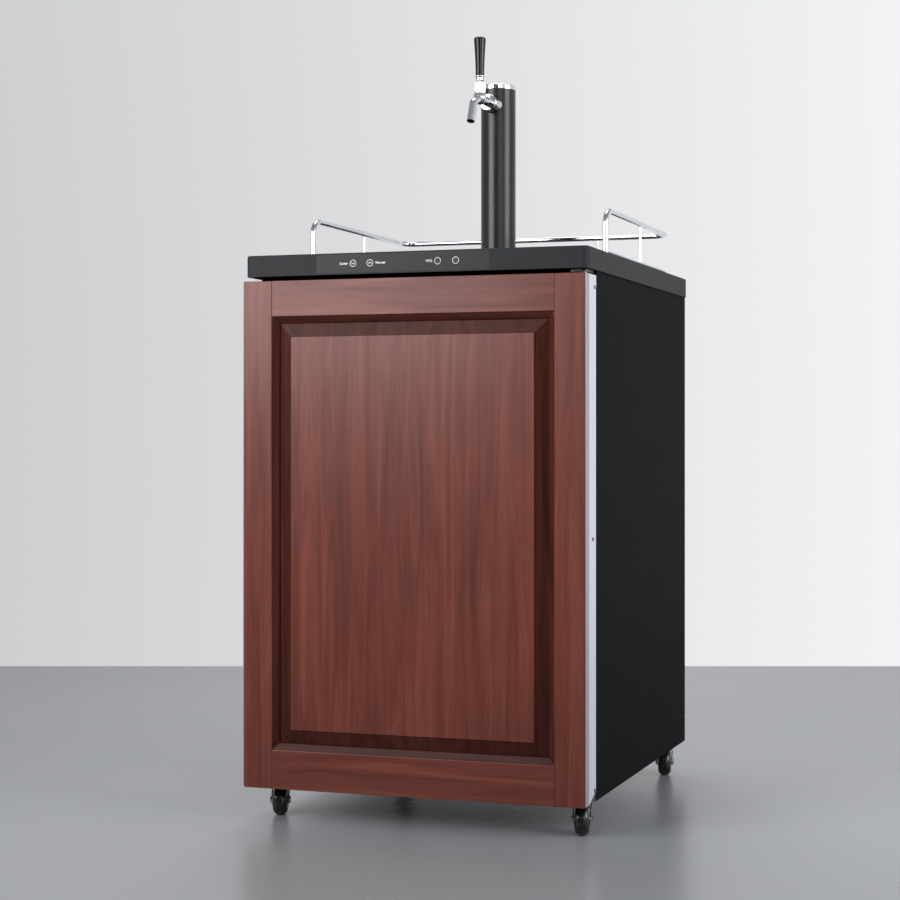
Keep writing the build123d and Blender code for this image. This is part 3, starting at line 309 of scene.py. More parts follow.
def drawn_metal(name, shade, roughness=0.32, along="Z", metallic=1.0):
    """Metal with drawing lines along one axis."""
    made, tree, shader = material(name, shade, roughness, metallic=metallic)
    run = tuple(0.01 if axis == along else 1 for axis in "XYZ")
    lines = noise(tree, 1400, run, detail=3)
    tinted(tree, shader, shade, 0.06, noise(tree, 120, run, detail=3))
    tree.links.new(between(tree, lines, roughness - 0.08, roughness + 0.1), shader.inputs["Roughness"])
    bumped(tree, shader, lines, 0.000012)
    return made


def galvanised(name):
    """Zinc-coated sheet with its spangle."""
    shade = (0.52, 0.54, 0.56)
    made, tree, shader = material(name, shade, 0.4, metallic=1.0)
    place = add(tree, "ShaderNodeTexCoord")
    cells = add(tree, "ShaderNodeTexVoronoi", scale=90)
    tree.links.new(place.outputs["Object"], cells.inputs["Vector"])
    grey = add(tree, "ShaderNodeRGBToBW")
    tree.links.new(cells.outputs["Color"], grey.inputs["Color"])
    tinted(tree, shader, shade, 0.07, grey.outputs["Val"])
    tree.links.new(between(tree, grey.outputs["Val"], 0.37, 0.43), shader.inputs["Roughness"])
    return made


def foam_skin(name):
    """Poured foam with closed cells at its surface."""
    shade = (0.72, 0.62, 0.40)
    made, tree, shader = material(name, shade, 0.9)
    place = add(tree, "ShaderNodeTexCoord")
    cells = add(tree, "ShaderNodeTexVoronoi", scale=420)
    tree.links.new(place.outputs["Object"], cells.inputs["Vector"])
    tinted(tree, shader, shade, 0.12, noise(tree, 18, detail=5))
    bumped(tree, shader, cells.outputs["Distance"], 0.0004)
    return made


def circuit_board(name):
    """Lacquered board with pale tracks under the lacquer."""
    made, tree, shader = material(name, (0.02, 0.12, 0.05), 0.3, coat_weight=0.5)
    tracks = noise(tree, 260, (1, 1, 0.2), detail=0)
    tree.links.new(
        ramp(tree, tracks, [(0.49, (0.015, 0.10, 0.045)), (0.51, (0.03, 0.17, 0.07))]),
        shader.inputs["Base Color"],
    )
    bumped(tree, shader, tracks, 0.00003)
    return made


def ink(name):
    """Printed ink, a little uneven."""
    colours, _ = settings()
    made, tree, shader = material(name, tuple(colours.ink), 0.55)
    tinted(tree, shader, tuple(colours.ink), 0.06, noise(tree, 900, detail=2))
    return made


def finishes():
    """Every finish, made once."""
    c, _ = settings()
    if "Door grain upright" in bpy.data.materials:
        return
    stained_wood("Door grain upright", "Z")
    stained_wood("Door grain level", "X")
    # Darker copies of the door wood: painted shade for the recessed profile and bevel faces.
    stained_wood("Door glaze upright", "Z", 0.38)
    stained_wood("Door glaze level", "X", 0.38)
    textured_paint("Cabinet paint", tuple(c.cabinet), 0.7, specular_ior_level=0.05)
    textured_paint("Black bracket paint", (0.016, 0.016, 0.017), 0.36, 1200, 0.00004)
    moulded("Worktop plastic", tuple(c.worktop), 0.58, 1300, 0.00006, specular_ior_level=0.16)
    moulded("Strip plastic", tuple(c.strip), 0.45, 2200, 0.00001, specular_ior_level=0.2)
    moulded("Key cap plastic", tuple(c.strip), 0.4, 2200, 0.00001, specular_ior_level=0.25)
    moulded("Liner plastic", tuple(c.liner), 0.36, 900, 0.00003, 0.012, specular_ior_level=0.4)
    moulded("Seal rubber", (0.035, 0.035, 0.038), 0.6, 1800, 0.00004)
    moulded("Fan plastic", (0.018, 0.018, 0.019), 0.45)
    moulded("Bush nylon", (0.62, 0.60, 0.55), 0.4)
    moulded("Tray plastic", (0.014, 0.014, 0.015), 0.38)
    glossy("Tower coating", tuple(c.tower), 0.28, specular_ior_level=0.25)
    glossy("Handle lacquer", (0.004, 0.004, 0.005), 0.16, specular_ior_level=0.22)
    glossy("Tread plastic", (0.006, 0.006, 0.0065), 0.25)
    glossy("Compressor enamel", (0.014, 0.014, 0.015), 0.25)
    plated("Chrome", tuple(c.chrome))
    plated("Zinc plating", (0.62, 0.63, 0.64), 0.24)
    drawn_metal("Trim metal", tuple(c.trim), 0.36, "Z", 0.2)
    drawn_metal("Trim front band", tuple(c.trim_front), 0.42, "Z", 0.35)
    drawn_metal("Brushed steel", (0.58, 0.59, 0.60), 0.3, "X")
    drawn_metal("Cold plate", (0.70, 0.71, 0.73), 0.36, "X")
    drawn_metal("Valve brass", (0.55, 0.36, 0.12), 0.28, "Y")
    galvanised("Galvanised sheet")
    foam_skin("Poured foam")
    circuit_board("Circuit board")
    ink("White ink")


def look(name):
    """A finish by its name."""
    finishes()
    return bpy.data.materials[name]


# Shaping


def only(piece):
    """Selects this piece and nothing else."""
    if bpy.context.object is not None and bpy.context.object.mode != "OBJECT":
        bpy.ops.object.mode_set(mode="OBJECT")
    bpy.ops.object.select_all(action="DESELECT")
    piece.select_set(True)
    bpy.context.view_layer.objects.active = piece


def edit(piece, test=None, parts="polygons"):
    """Enters edit mode with the faces (or edges) that pass the test selected, or all."""
    only(piece)
    bpy.ops.object.mode_set(mode="EDIT")
    bpy.ops.mesh.select_mode(type="FACE" if parts == "polygons" else "EDGE")
    bpy.ops.mesh.select_all(action="SELECT" if test is None else "DESELECT")
    if test is not None:
        bpy.ops.object.mode_set(mode="OBJECT")
        for part in getattr(piece.data, parts):
            part.select = test(part)
        bpy.ops.object.mode_set(mode="EDIT")


def done():
    """Leaves edit mode."""
    bpy.ops.object.mode_set(mode="OBJECT")


def soften(piece, width, limit=SHARP, segments=2):
    """Rounds the sharp edges."""
    only(piece)
    bpy.ops.object.modifier_add(type="BEVEL")
    bevel = piece.modifiers[-1]
    bevel.width = width
    bevel.segments = segments
    bevel.limit_method = "ANGLE"
    bevel.angle_limit = math.radians(limit)
    bevel.miter_outer = "MITER_ARC"
    bpy.ops.object.modifier_apply(modifier=bevel.name)


def smooth(piece, angle):
    """Shades smooth below this angle, with each flat face kept flat."""
    only(piece)
    bpy.ops.object.shade_smooth_by_angle(angle=math.radians(angle))
    bpy.ops.object.modifier_add(type="WEIGHTED_NORMAL")
    weighted = piece.modifiers[-1]
    weighted.keep_sharp = True
    bpy.ops.object.modifier_apply(modifier=weighted.name)


def placed(piece, name, body, finish, nodes=()):
    """Applies the piece's place, names it and fixes it to its body."""
    only(piece)
    bpy.ops.object.transform_apply(location=True, rotation=True, scale=True)
    piece.name = name
    piece.data.name = name
    piece.data.materials.clear()
    piece.data.materials.append(look(finish))
    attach(piece, body)
    if nodes:
        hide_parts(*nodes)
    return piece


def welded(node, whole=True):
    """A merged copy of a CAD node, with each flat face in one piece if whole is set."""
    only(frame["nodes"][node])
    bpy.ops.object.duplicate()
    piece = bpy.context.active_object
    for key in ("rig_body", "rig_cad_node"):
        del piece[key]
    piece.parent = None
    if piece.data.has_custom_normals:
        bpy.ops.mesh.customdata_custom_splitnormals_clear()
    edit(piece)
    bpy.ops.mesh.remove_doubles(threshold=WELD)
    if whole:
        bpy.ops.mesh.dissolve_limited(angle_limit=math.radians(0.3))
    done()
    return piece


def rebuilt(node, name, finish, edge=0.0, limit=SHARP, shade=SHARP):
    """A CAD node's shape with softened edges, standing for the node."""
    piece = welded(node)
    if edge:
        soften(piece, edge, limit)
    smooth(piece, shade)
    return placed(piece, name, BODY_OF[node], finish, [node])


def slotted(node, name, finish):
    """A CAD node full of slots, with its edges left as cut."""
    piece = welded(node, whole=False)
    smooth(piece, 25)
    return placed(piece, name, BODY_OF[node], finish, [node])


def rebuild_all(rows, edge):
    """Rebuilds (node, name, finish) rows with one edge rounding."""
    for node, name, finish in rows:
        rebuilt(node, name, finish, edge)


def second_finish(piece, finish, test):
    """Gives the faces that pass the test another finish."""
    piece.data.materials.append(look(finish))
    for face in piece.data.polygons:
        if test(face):
            face.material_index = len(piece.data.materials) - 1


def turned(centre, rings, sides=64):
    """A closed turned shape on a vertical axis: a disc extruded up through (height, radius)."""
    x, y = centre
    height, radius = rings[0]
    bpy.ops.object.select_all(action="DESELECT")
    bpy.ops.mesh.primitive_circle_add(
        vertices=sides, radius=radius, fill_type="NGON", location=(x, y, height)
    )
    piece = bpy.context.active_object
    only(piece)
    bpy.ops.object.transform_apply(location=True, rotation=True, scale=True)
    edit(piece)
    for next_height, next_radius in rings[1:]:
        bpy.ops.mesh.extrude_region_move(
            TRANSFORM_OT_translate={"value": (0, 0, next_height - height)}
        )
        factor = next_radius / radius
        bpy.ops.transform.resize(value=(factor, factor, 1), center_override=(x, y, next_height))
        height, radius = next_height, next_radius
    bpy.ops.mesh.select_all(action="SELECT")
    bpy.ops.mesh.normals_make_consistent(inside=False)
    done()
    return piece


def arc_rings(z, radius, drop, steps=6):
    """Rings of a quarter-round shoulder that ends at height z."""
    rings = []
    for step in range(1, steps + 1):
        angle = math.pi / 2 * step / steps
        rings.append((z - drop + drop * math.sin(angle), radius - drop * (1 - math.cos(angle))))
    return rings


def plate(low, high):
    """A box between two corners, ready to be shaped."""
    bpy.ops.object.select_all(action="DESELECT")
    centre = [(a + b) / 2 for a, b in zip(low, high)]
    bpy.ops.mesh.primitive_cube_add(size=1, location=centre)
    piece = bpy.context.active_object
    piece.scale = [b - a for a, b in zip(low, high)]
    only(piece)
    bpy.ops.object.transform_apply(location=True, rotation=True, scale=True)
    return piece


def ends(piece, edge):
    """Places of an edge's two corners."""
    return [piece.data.vertices[index].co for index in edge.vertices]


def joined(pieces):
    """Makes the pieces one."""
    only(pieces[0])
    for piece in pieces[1:]:
        piece.select_set(True)
    bpy.ops.object.join()
    return bpy.context.active_object


def middle(node):
    """Centre of a node's box."""
    low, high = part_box(node)
    return (low + high) / 2


# Pieces


class CabinetOperator(bpy.types.Operator):
    """Painted wrap, base, back and the louvred cover"""

    bl_idname = "cooler.cabinet"
    bl_label = "Cabinet"

    def execute(self, context):
        _, sizes = settings()
        rows = (
            ("cabinet_wrap", "steel_wrap", "Cabinet paint"),
            ("base_sheet", "floor_sheet", "Galvanised sheet"),
            ("compressor_tray", "bay_tray", "Galvanised sheet"),
            ("back_panel", "back_sheet", "Galvanised sheet"),
            ("power_gland", "lead_gland", "Fan plastic"),
        )
        rebuild_all(rows, sizes.metal_edge)
        slotted("rear_grille", "louvred_cover", "Black bracket paint")
        return {"FINISHED"}


class InsideOperator(bpy.types.Operator):
    """Formed liner, poured foam and the cold plate"""

    bl_idname = "cooler.inside"
    bl_label = "Inside"

    def execute(self, context):
        _, sizes = settings()
        rebuilt("foam_body", "foam_block", "Poured foam")
        rebuilt("inner_liner", "formed_liner", "Liner plastic", sizes.plastic_edge)
        rebuilt("evaporator_plate", "cold_plate", "Cold plate", sizes.metal_edge)
        return {"FINISHED"}


class CoolingOperator(bpy.types.Operator):
    """Compressor, condenser and fan in the rear bay"""

    bl_idname = "cooler.cooling"
    bl_label = "Cooling"

    def execute(self, context):
        _, sizes = settings()
        can = rebuilt("compressor", "compressor_can", "Compressor enamel", sizes.metal_edge)
        foot_height = 0.009
        foot_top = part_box("compressor_tray")[1].z + foot_height
        second_finish(can, "Seal rubber", lambda face: face.center.z < foot_top - WELD)
        rows = (
            ("condenser", "fin_pack", "Black bracket paint"),
            ("condenser_fan_frame", "fan_shroud", "Fan plastic"),
            ("condenser_fan_rotor", "fan_blades", "Fan plastic"),
        )
        rebuild_all(rows, sizes.metal_edge)
        return {"FINISHED"}


class DoorWoodOperator(bpy.types.Operator):
    """Stained stiles, rails and the raised panel"""

    bl_idname = "cooler.door_wood"
    bl_label = "Door wood"

    def execute(self, context):
        _, sizes = settings()
        edge = sizes.wood_edge
        stiles = rebuilt("door_stiles", "stile_pair", "Door grain upright", edge, 60, 12)
        rails = rebuilt("door_rails", "rail_pair", "Door grain level", edge, 60, 12)
        panel = rebuilt("door_panel", "raised_panel", "Door grain upright", edge / 2, 60, 8)
        # The recessed faces get the darker wood as painted shade.
        second_finish(stiles, "Door glaze upright", self.painted_shade_faces(stiles, edge))
        second_finish(rails, "Door glaze level", self.painted_shade_faces(rails, edge))
        second_finish(panel, "Door glaze upright", self.painted_shade_faces(panel, edge))
        return {"FINISHED"}

    def painted_shade_faces(self, piece, edge):
        """Test for faces behind the piece's front, which get painted shade, without its outer ends."""
        front = min(v.co.y for v in piece.data.vertices) + edge * 1.2
        reach = max(abs(v.co.x) for v in piece.data.vertices) - edge * 2
        return lambda face: face.center.y > front and abs(face.center.x) < reach


class DoorBodyOperator(bpy.types.Operator):
    """Door body, inner face and the magnetic seal"""

    bl_idname = "cooler.door_body"
    bl_label = "Door body"

    def execute(self, context):
        _, sizes = settings()
        rebuilt("door_skin", "door_backing", "Black bracket paint", sizes.metal_edge)
        rebuilt("door_foam", "door_filling", "Poured foam")
        rebuilt("door_liner", "door_inner_face", "Liner plastic", sizes.plastic_edge)
        self.seal()
        return {"FINISHED"}

    def seal(self):
        """Seal with a magnet strip set in its face and a fold along its sides."""
        lip, sink, strip, swell = 0.0045, 0.0012, 0.0022, 0.0010
        fold_edge, fold_depth = 0.0022, 0.0016
        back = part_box("door_gasket")[1].y
        piece = welded("door_gasket")
        edit(piece, lambda face: face.center.y > back - WELD)
        bpy.ops.mesh.inset(thickness=lip)
        bpy.ops.transform.translate(value=(0, -sink, 0))
        bpy.ops.mesh.inset(thickness=strip)
        bpy.ops.transform.translate(value=(0, swell, 0))
        done()
        edit(piece, lambda face: abs(face.normal.y) < 0.5 and face.area > 1e-5)
        bpy.ops.mesh.inset(thickness=fold_edge)
        bpy.ops.transform.shrink_fatten(value=-fold_depth)
        done()
        soften(piece, 0.0004, 40)
        smooth(piece, SHARP)
        placed(piece, "door_seal", "door", "Seal rubber", ["door_gasket"])


class TrimOperator(bpy.types.Operator):
    """Pale edge profiles with their screws, cover tabs and corner brackets"""

    bl_idname = "cooler.trim"
    bl_label = "Door trim"

    BAND_STEP = 0.0042  # the front band ends this far ahead of the wood's back

    def execute(self, context):
        _, sizes = settings()
        low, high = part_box("trim_sides")
        sides = rebuilt("trim_sides", "edge_profiles", "Trim metal", sizes.metal_edge)
        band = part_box("door_stiles")[1].y - self.BAND_STEP
        second_finish(sides, "Trim front band", lambda face: face.center.y < band)
        rebuilt("trim_ends", "end_channels", "Black bracket paint", sizes.metal_edge)
        screws = rebuilt("trim_screws", "trim_screw_set", "Zinc plating", sizes.plate_edge)
        self.screw_sockets(screws)
        for side, name in ((-1, "left"), (1, "right")):
            self.cover_tab(side, name, high, sizes)
            self.corner_bracket(side, name, low, high)
        return {"FINISHED"}

    def screw_sockets(self, screws):
        """A socket sunk into each screw head, its faces painted black as painted shade in the hole."""
        rim, sink = 0.0010, 0.0004
        reach = max(abs(v.co.x) for v in screws.data.vertices) - 1e-4
        edit(screws, lambda face: abs(face.center.x) > reach and abs(face.normal.x) > 0.9)
        bpy.ops.mesh.inset(thickness=rim, use_individual=False)
        bpy.ops.mesh.extrude_region_shrink_fatten(TRANSFORM_OT_shrink_fatten={"value": -sink})
        done()
        # Black on the sunk faces is painted shade in the hole, not the screw's own colour.
        screws.data.materials.append(look("Black bracket paint"))
        for face in screws.data.polygons:
            if face.select:
                face.material_index = 1

    def cover_tab(self, side, name, high, sizes):
        """Thin cover round the top screw, with a rounded lower end."""
        edge_gap = 0.0006
        face = side * high.x
        outside = face + side * sizes.tab_thickness
        heads = [v.co for v in frame["nodes"]["trim_screws"].data.vertices if v.co.z > high.z - 0.03]
        centre = sum(p.y for p in heads) / len(heads)
        half = sizes.tab_width / 2
        bottom = high.z - sizes.tab_height + half
        tab = plate(
            (min(face, outside), centre - half, bottom),
            (max(face, outside), centre + half, high.z - edge_gap),
        )

        def lower_corner(edge):
            first, second = ends(tab, edge)
            return max(first.z, second.z) < bottom + WELD and abs(first.x - second.x) > WELD

        edit(tab, lower_corner, "edges")
        bpy.ops.mesh.bevel(offset=half * 0.98, segments=10, affect="EDGES")
        done()
        soften(tab, 0.00015, SHARP, 1)
        smooth(tab, 30)
        placed(tab, "cover_tab_" + name, "door", "Trim metal")

    def corner_bracket(self, side, name, low, high):
        """Black bracket that shows under the cut lower corner."""
        tall, deep, cut = 0.016, 0.034, 0.0145
        inner = side * (high.x - 0.0015)
        outer = side * (high.x - 0.0005)
        bracket = plate(
            (min(inner, outer), high.y - deep, low.z + 0.0002),
            (max(inner, outer), high.y - 0.0006, low.z + tall),
        )

        def upper_front(edge):
            return all(p.z > low.z + tall - 0.001 and p.y < high.y - 0.03 for p in ends(bracket, edge))

        edit(bracket, upper_front, "edges")
        bpy.ops.mesh.bevel(offset=cut, segments=1, affect="EDGES")
        done()
        soften(bracket, 0.0002)
        smooth(bracket, 30)
        placed(bracket, "corner_bracket_" + name, "door", "Black bracket paint")


class HingeOperator(bpy.types.Operator):
    """Hinge plates, pins and bushes"""

    bl_idname = "cooler.hinges"
    bl_label = "Hinges"

    def execute(self, context):
        _, sizes = settings()
        rows = (
            ("hinge_plates", "hinge_leaves", "Black bracket paint"),
            ("hinge_pins", "pivot_pins", "Zinc plating"),
            ("hinge_bushes", "pivot_bushes", "Bush nylon"),
        )
        rebuild_all(rows, sizes.metal_edge)
        return {"FINISHED"}


class WorktopOperator(bpy.types.Operator):
    """Moulded worktop, control strip and board"""

    bl_idname = "cooler.worktop"
    bl_label = "Worktop"

    def execute(self, context):
        _, sizes = settings()
        rebuilt("worktop", "worktop_slab", "Worktop plastic", sizes.plastic_edge)
        rebuilt("control_panel", "control_strip", "Strip plastic", sizes.plastic_edge / 3)
        rebuilt("control_board", "key_board", "Circuit board", sizes.metal_edge)
        return {"FINISHED"}


class KeysOperator(bpy.types.Operator):
    """Push keys with their rings, arrows and words"""

    bl_idname = "cooler.keys"
    bl_label = "Keys and print"

    RING_RADIUS = 0.0057
    WORD_GAP = 0.0022  # from a key's rim to its word

    def execute(self, context):
        _, sizes = settings()
        for key in ("down", "up", "unit", "mode"):
            node = "key_" + key
            rebuilt(node, "cap_" + key, "Key cap plastic", sizes.plate_edge)
            self.ring(node, key, sizes)
        self.arrow("key_down", "down", -1)
        self.arrow("key_up", "up", 1)
        half = (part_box("key_up")[1].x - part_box("key_up")[0].x) / 2
        gap = half + self.WORD_GAP
        self.word("Cooler", "word_cooler", middle("key_down").x - gap, "RIGHT", sizes)
        self.word("Warmer", "word_warmer", middle("key_up").x + gap, "LEFT", sizes)
        self.word("°F/°C", "word_unit", middle("key_unit").x - gap, "RIGHT", sizes)
        return {"FINISHED"}

    def ring(self, node, key, sizes):
        """Printed ring just inside the cap's rim."""
        bpy.ops.object.select_all(action="DESELECT")
        bpy.ops.mesh.primitive_circle_add(vertices=64, radius=self.RING_RADIUS, fill_type="NGON")
        ring = bpy.context.active_object
        edit(ring)
        bpy.ops.mesh.inset(thickness=sizes.ring)
        bpy.ops.mesh.delete(type="FACE")
        bpy.ops.mesh.select_all(action="SELECT")
        bpy.ops.mesh.extrude_region_move(TRANSFORM_OT_translate={"value": (0, 0, PRINT)})
        bpy.ops.mesh.select_all(action="SELECT")
        bpy.ops.mesh.normals_make_consistent(inside=False)
        done()
        self.stand(ring, middle(node).x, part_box(node)[0].y, middle(node).z)
        placed(ring, "ring_" + key, node, "White ink")

    def arrow(self, node, key, up):
        """Open arrow of two strokes that meet at a point."""
        half_long, half_wide = 0.0022, 0.00038
        strokes = []
        for side in (-1, 1):
            stroke = plate((-half_long, -half_wide, 0), (half_long, half_wide, PRINT))
            edit(stroke)
            bpy.ops.mesh.subdivide(number_cuts=1)
            done()
            soften(stroke, 0.00012, 60, 1)
            stroke.rotation_euler = (0, 0, -side * up * math.radians(42))
            stroke.location = (side * 0.00145, 0, 0)
            only(stroke)
            bpy.ops.object.transform_apply(location=True, rotation=True, scale=True)
            strokes.append(stroke)
        arrow = joined(strokes)
        self.stand(arrow, middle(node).x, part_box(node)[0].y, middle(node).z)
        placed(arrow, "arrow_" + key, node, "White ink")

    def word(self, words, name, x, align, sizes):
        """Small word printed on the strip."""
        bpy.ops.object.select_all(action="DESELECT")
        bpy.ops.object.text_add()
        text = bpy.context.active_object
        text.data.body = words
        text.data.size = sizes.letter
        text.data.align_x = align
        text.data.align_y = "CENTER"
        text.data.extrude = PRINT / 2
        text.data.offset = 0.00012
        text.data.resolution_u = 4
        only(text)
        bpy.ops.object.convert(target="MESH")
        word = bpy.context.active_object
        self.stand(word, x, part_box("control_panel")[0].y, middle("key_up").z)
        placed(word, name, "cabinet", "White ink")

    def stand(self, piece, x, y, z):
        """Turns flat print upright and lays it on the face at y."""
        piece.rotation_euler = (math.pi / 2, 0, 0)
        piece.location = (x, y - PRINT / 4, z)


class GuardRailOperator(bpy.types.Operator):
    """Bent rail, lower rod, posts and shoes"""

    bl_idname = "cooler.guard_rail"
    bl_label = "Guard rail"

    def execute(self, context):
        _, sizes = settings()
        rows = (
            ("guard_rail", "top_rail", "Chrome"),
            ("lower_rail", "low_rod", "Chrome"),
            ("rail_posts", "posts_and_shoes", "Chrome"),
        )
        rebuild_all(rows, sizes.plate_edge)
        return {"FINISHED"}


class DripTrayOperator(bpy.types.Operator):
    """Drip tray and its slotted grille"""

    bl_idname = "cooler.drip_tray"
    bl_label = "Drip tray"

    def execute(self, context):
        _, sizes = settings()
        rebuilt("drip_tray", "tray_pan", "Tray plastic", sizes.metal_edge)
        slotted("drip_grille", "tray_grille", "Brushed steel")
        return {"FINISHED"}


class TowerOperator(bpy.types.Operator):
    """Draught tower, its flange, screws and cap"""

    bl_idname = "cooler.tower"
    bl_label = "Tower"

    def execute(self, context):
        _, sizes = settings()
        rows = (
            ("tower_flange", "tower_foot", "Tower coating"),
            ("flange_screws", "foot_screws", "Zinc plating"),
            ("tower_tube", "tower_column", "Tower coating"),
            ("tower_cap", "tower_lid", "Chrome"),
        )
        rebuild_all(rows, sizes.plate_edge)
        return {"FINISHED"}


class TapOperator(bpy.types.Operator):
    """Tap, ring nut, lever and handle"""

    bl_idname = "cooler.tap"
    bl_label = "Tap"

    def execute(self, context):
        _, sizes = settings()
        rows = (
            ("faucet_shank", "tap_shank", "Chrome"),
            ("shank_collar", "tap_collar", "Chrome"),
            ("faucet_body", "tap_body", "Chrome"),
            ("tap_lever", "lever_rod", "Chrome"),
            ("valve_stem", "valve_rod", "Valve brass"),
        )
        rebuild_all(rows, sizes.plate_edge)
        self.ring_nut(sizes)
        self.bonnet(sizes)
        self.ferrule()
        self.handle()
        return {"FINISHED"}

    def fluted(self, piece, count, depth, centre, radius):
        """Sinks every other group of side faces, about an upright axis, to make a grip."""

        def in_flute(face):
            across = face.center - Vector(centre)
            if abs(face.normal.z) > 0.3 or face.area < 1e-8:
                return False
            if math.hypot(across.x, across.y) < radius * 0.9:
                return False
            turn = math.atan2(across.y, across.x) / (2 * math.pi) * count
            return turn % 1 < 0.5

        edit(piece, in_flute)
        bpy.ops.mesh.inset(thickness=0.0003)
        bpy.ops.transform.shrink_fatten(value=-depth)
        done()

    def ring_nut(self, sizes):
        """Ring nut with rounded ends and flutes for the hook spanner."""
        low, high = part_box("faucet_nut")
        shank_low, shank_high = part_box("faucet_shank")
        air, shoulder = 0.00005, 0.0022
        outer = (high.x - low.x) / 2
        inner = (shank_high.x - shank_low.x) / 2 + air
        half = (high.y - low.y) / 2
        rim = [(half - 0.0018, outer), (half - 0.0006, outer - 0.0010), (half, outer - shoulder)]
        rings = [(-height, radius) for height, radius in reversed(rim)] + rim
        nut = turned((0, 0), rings, sizes.nut_flutes * 4)
        edit(nut, lambda face: abs(face.normal.z) > 0.9 and face.area > 1e-5)
        bpy.ops.mesh.inset(thickness=outer - shoulder - inner)
        bpy.ops.mesh.bridge_edge_loops()
        done()
        self.fluted(nut, sizes.nut_flutes, 0.0007, (0, 0, 0), outer)
        nut.rotation_euler = (math.pi / 2, 0, 0)
        nut.location = (low + high) / 2
        smooth(nut, 35)
        placed(nut, "ring_nut", "cabinet", "Chrome", ["faucet_nut"])

    def bonnet(self, sizes):
        """Bonnet nut: the CAD shape with flats sunk round its side."""
        low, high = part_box("faucet_bonnet")
        piece = welded("faucet_bonnet")
        self.fluted(piece, 16, 0.0004, (low + high) / 2, (high.x - low.x) / 2)
        soften(piece, sizes.plate_edge, 60)
        smooth(piece, 40)
        placed(piece, "bonnet_nut", "cabinet", "Chrome", ["faucet_bonnet"])

    def ferrule(self):
        """Plated ferrule with a bead at its top."""
        low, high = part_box("handle_ferrule")
        x, y = middle("handle_ferrule").x, middle("handle_ferrule").y
        wide = (high.x - low.x) / 2
        tall = high.z - low.z
        rings = [(low.z, wide * 0.78), (low.z + 0.0006, wide * 0.86), (low.z + tall * 0.55, wide * 0.84)]
        rings += [(low.z + tall * 0.68, wide * 0.96), (low.z + tall * 0.8, wide)]
        rings += [(high.z - 0.0008, wide), (high.z, wide * 0.93)]
        piece = turned((x, y), rings)
        smooth(piece, 40)
        placed(piece, "handle_ring", "tap", "Chrome", ["handle_ferrule"])

    def handle(self):
        """Lacquered handle that swells towards its domed top."""
        low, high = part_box("tap_handle")
        x, y = middle("tap_handle").x, middle("tap_handle").y
        top = (high.x - low.x) / 2
        foot = top * 0.71
        tall = high.z - low.z
        rings = [(low.z, foot * 0.94), (low.z + 0.0008, foot)]
        for step in range(1, 13):
            share = step / 12
            swell = foot + (top - foot) * share**1.6
            rings.append((low.z + 0.0008 + (tall - 0.0048) * share, swell))
        rings += arc_rings(high.z, top, 0.004)
        piece = turned((x, y), rings)
        smooth(piece, 40)
        placed(piece, "tap_grip", "tap", "Handle lacquer", ["tap_handle"])


class CasterOperator(bpy.types.Operator):
    """Caster plates, forks and wheels"""

    bl_idname = "cooler.casters"
    bl_label = "Casters"

    def execute(self, context):
        _, sizes = settings()
        rebuilt("caster_mounts", "caster_plates", "Zinc plating", sizes.plate_edge)
        for name in CASTERS:
            rebuilt("fork_" + name, "caster_fork_" + name, "Chrome", sizes.plate_edge)
            rebuilt("wheel_" + name, "caster_wheel_" + name, "Tread plastic", sizes.plate_edge, 60, 40)
        return {"FINISHED"}


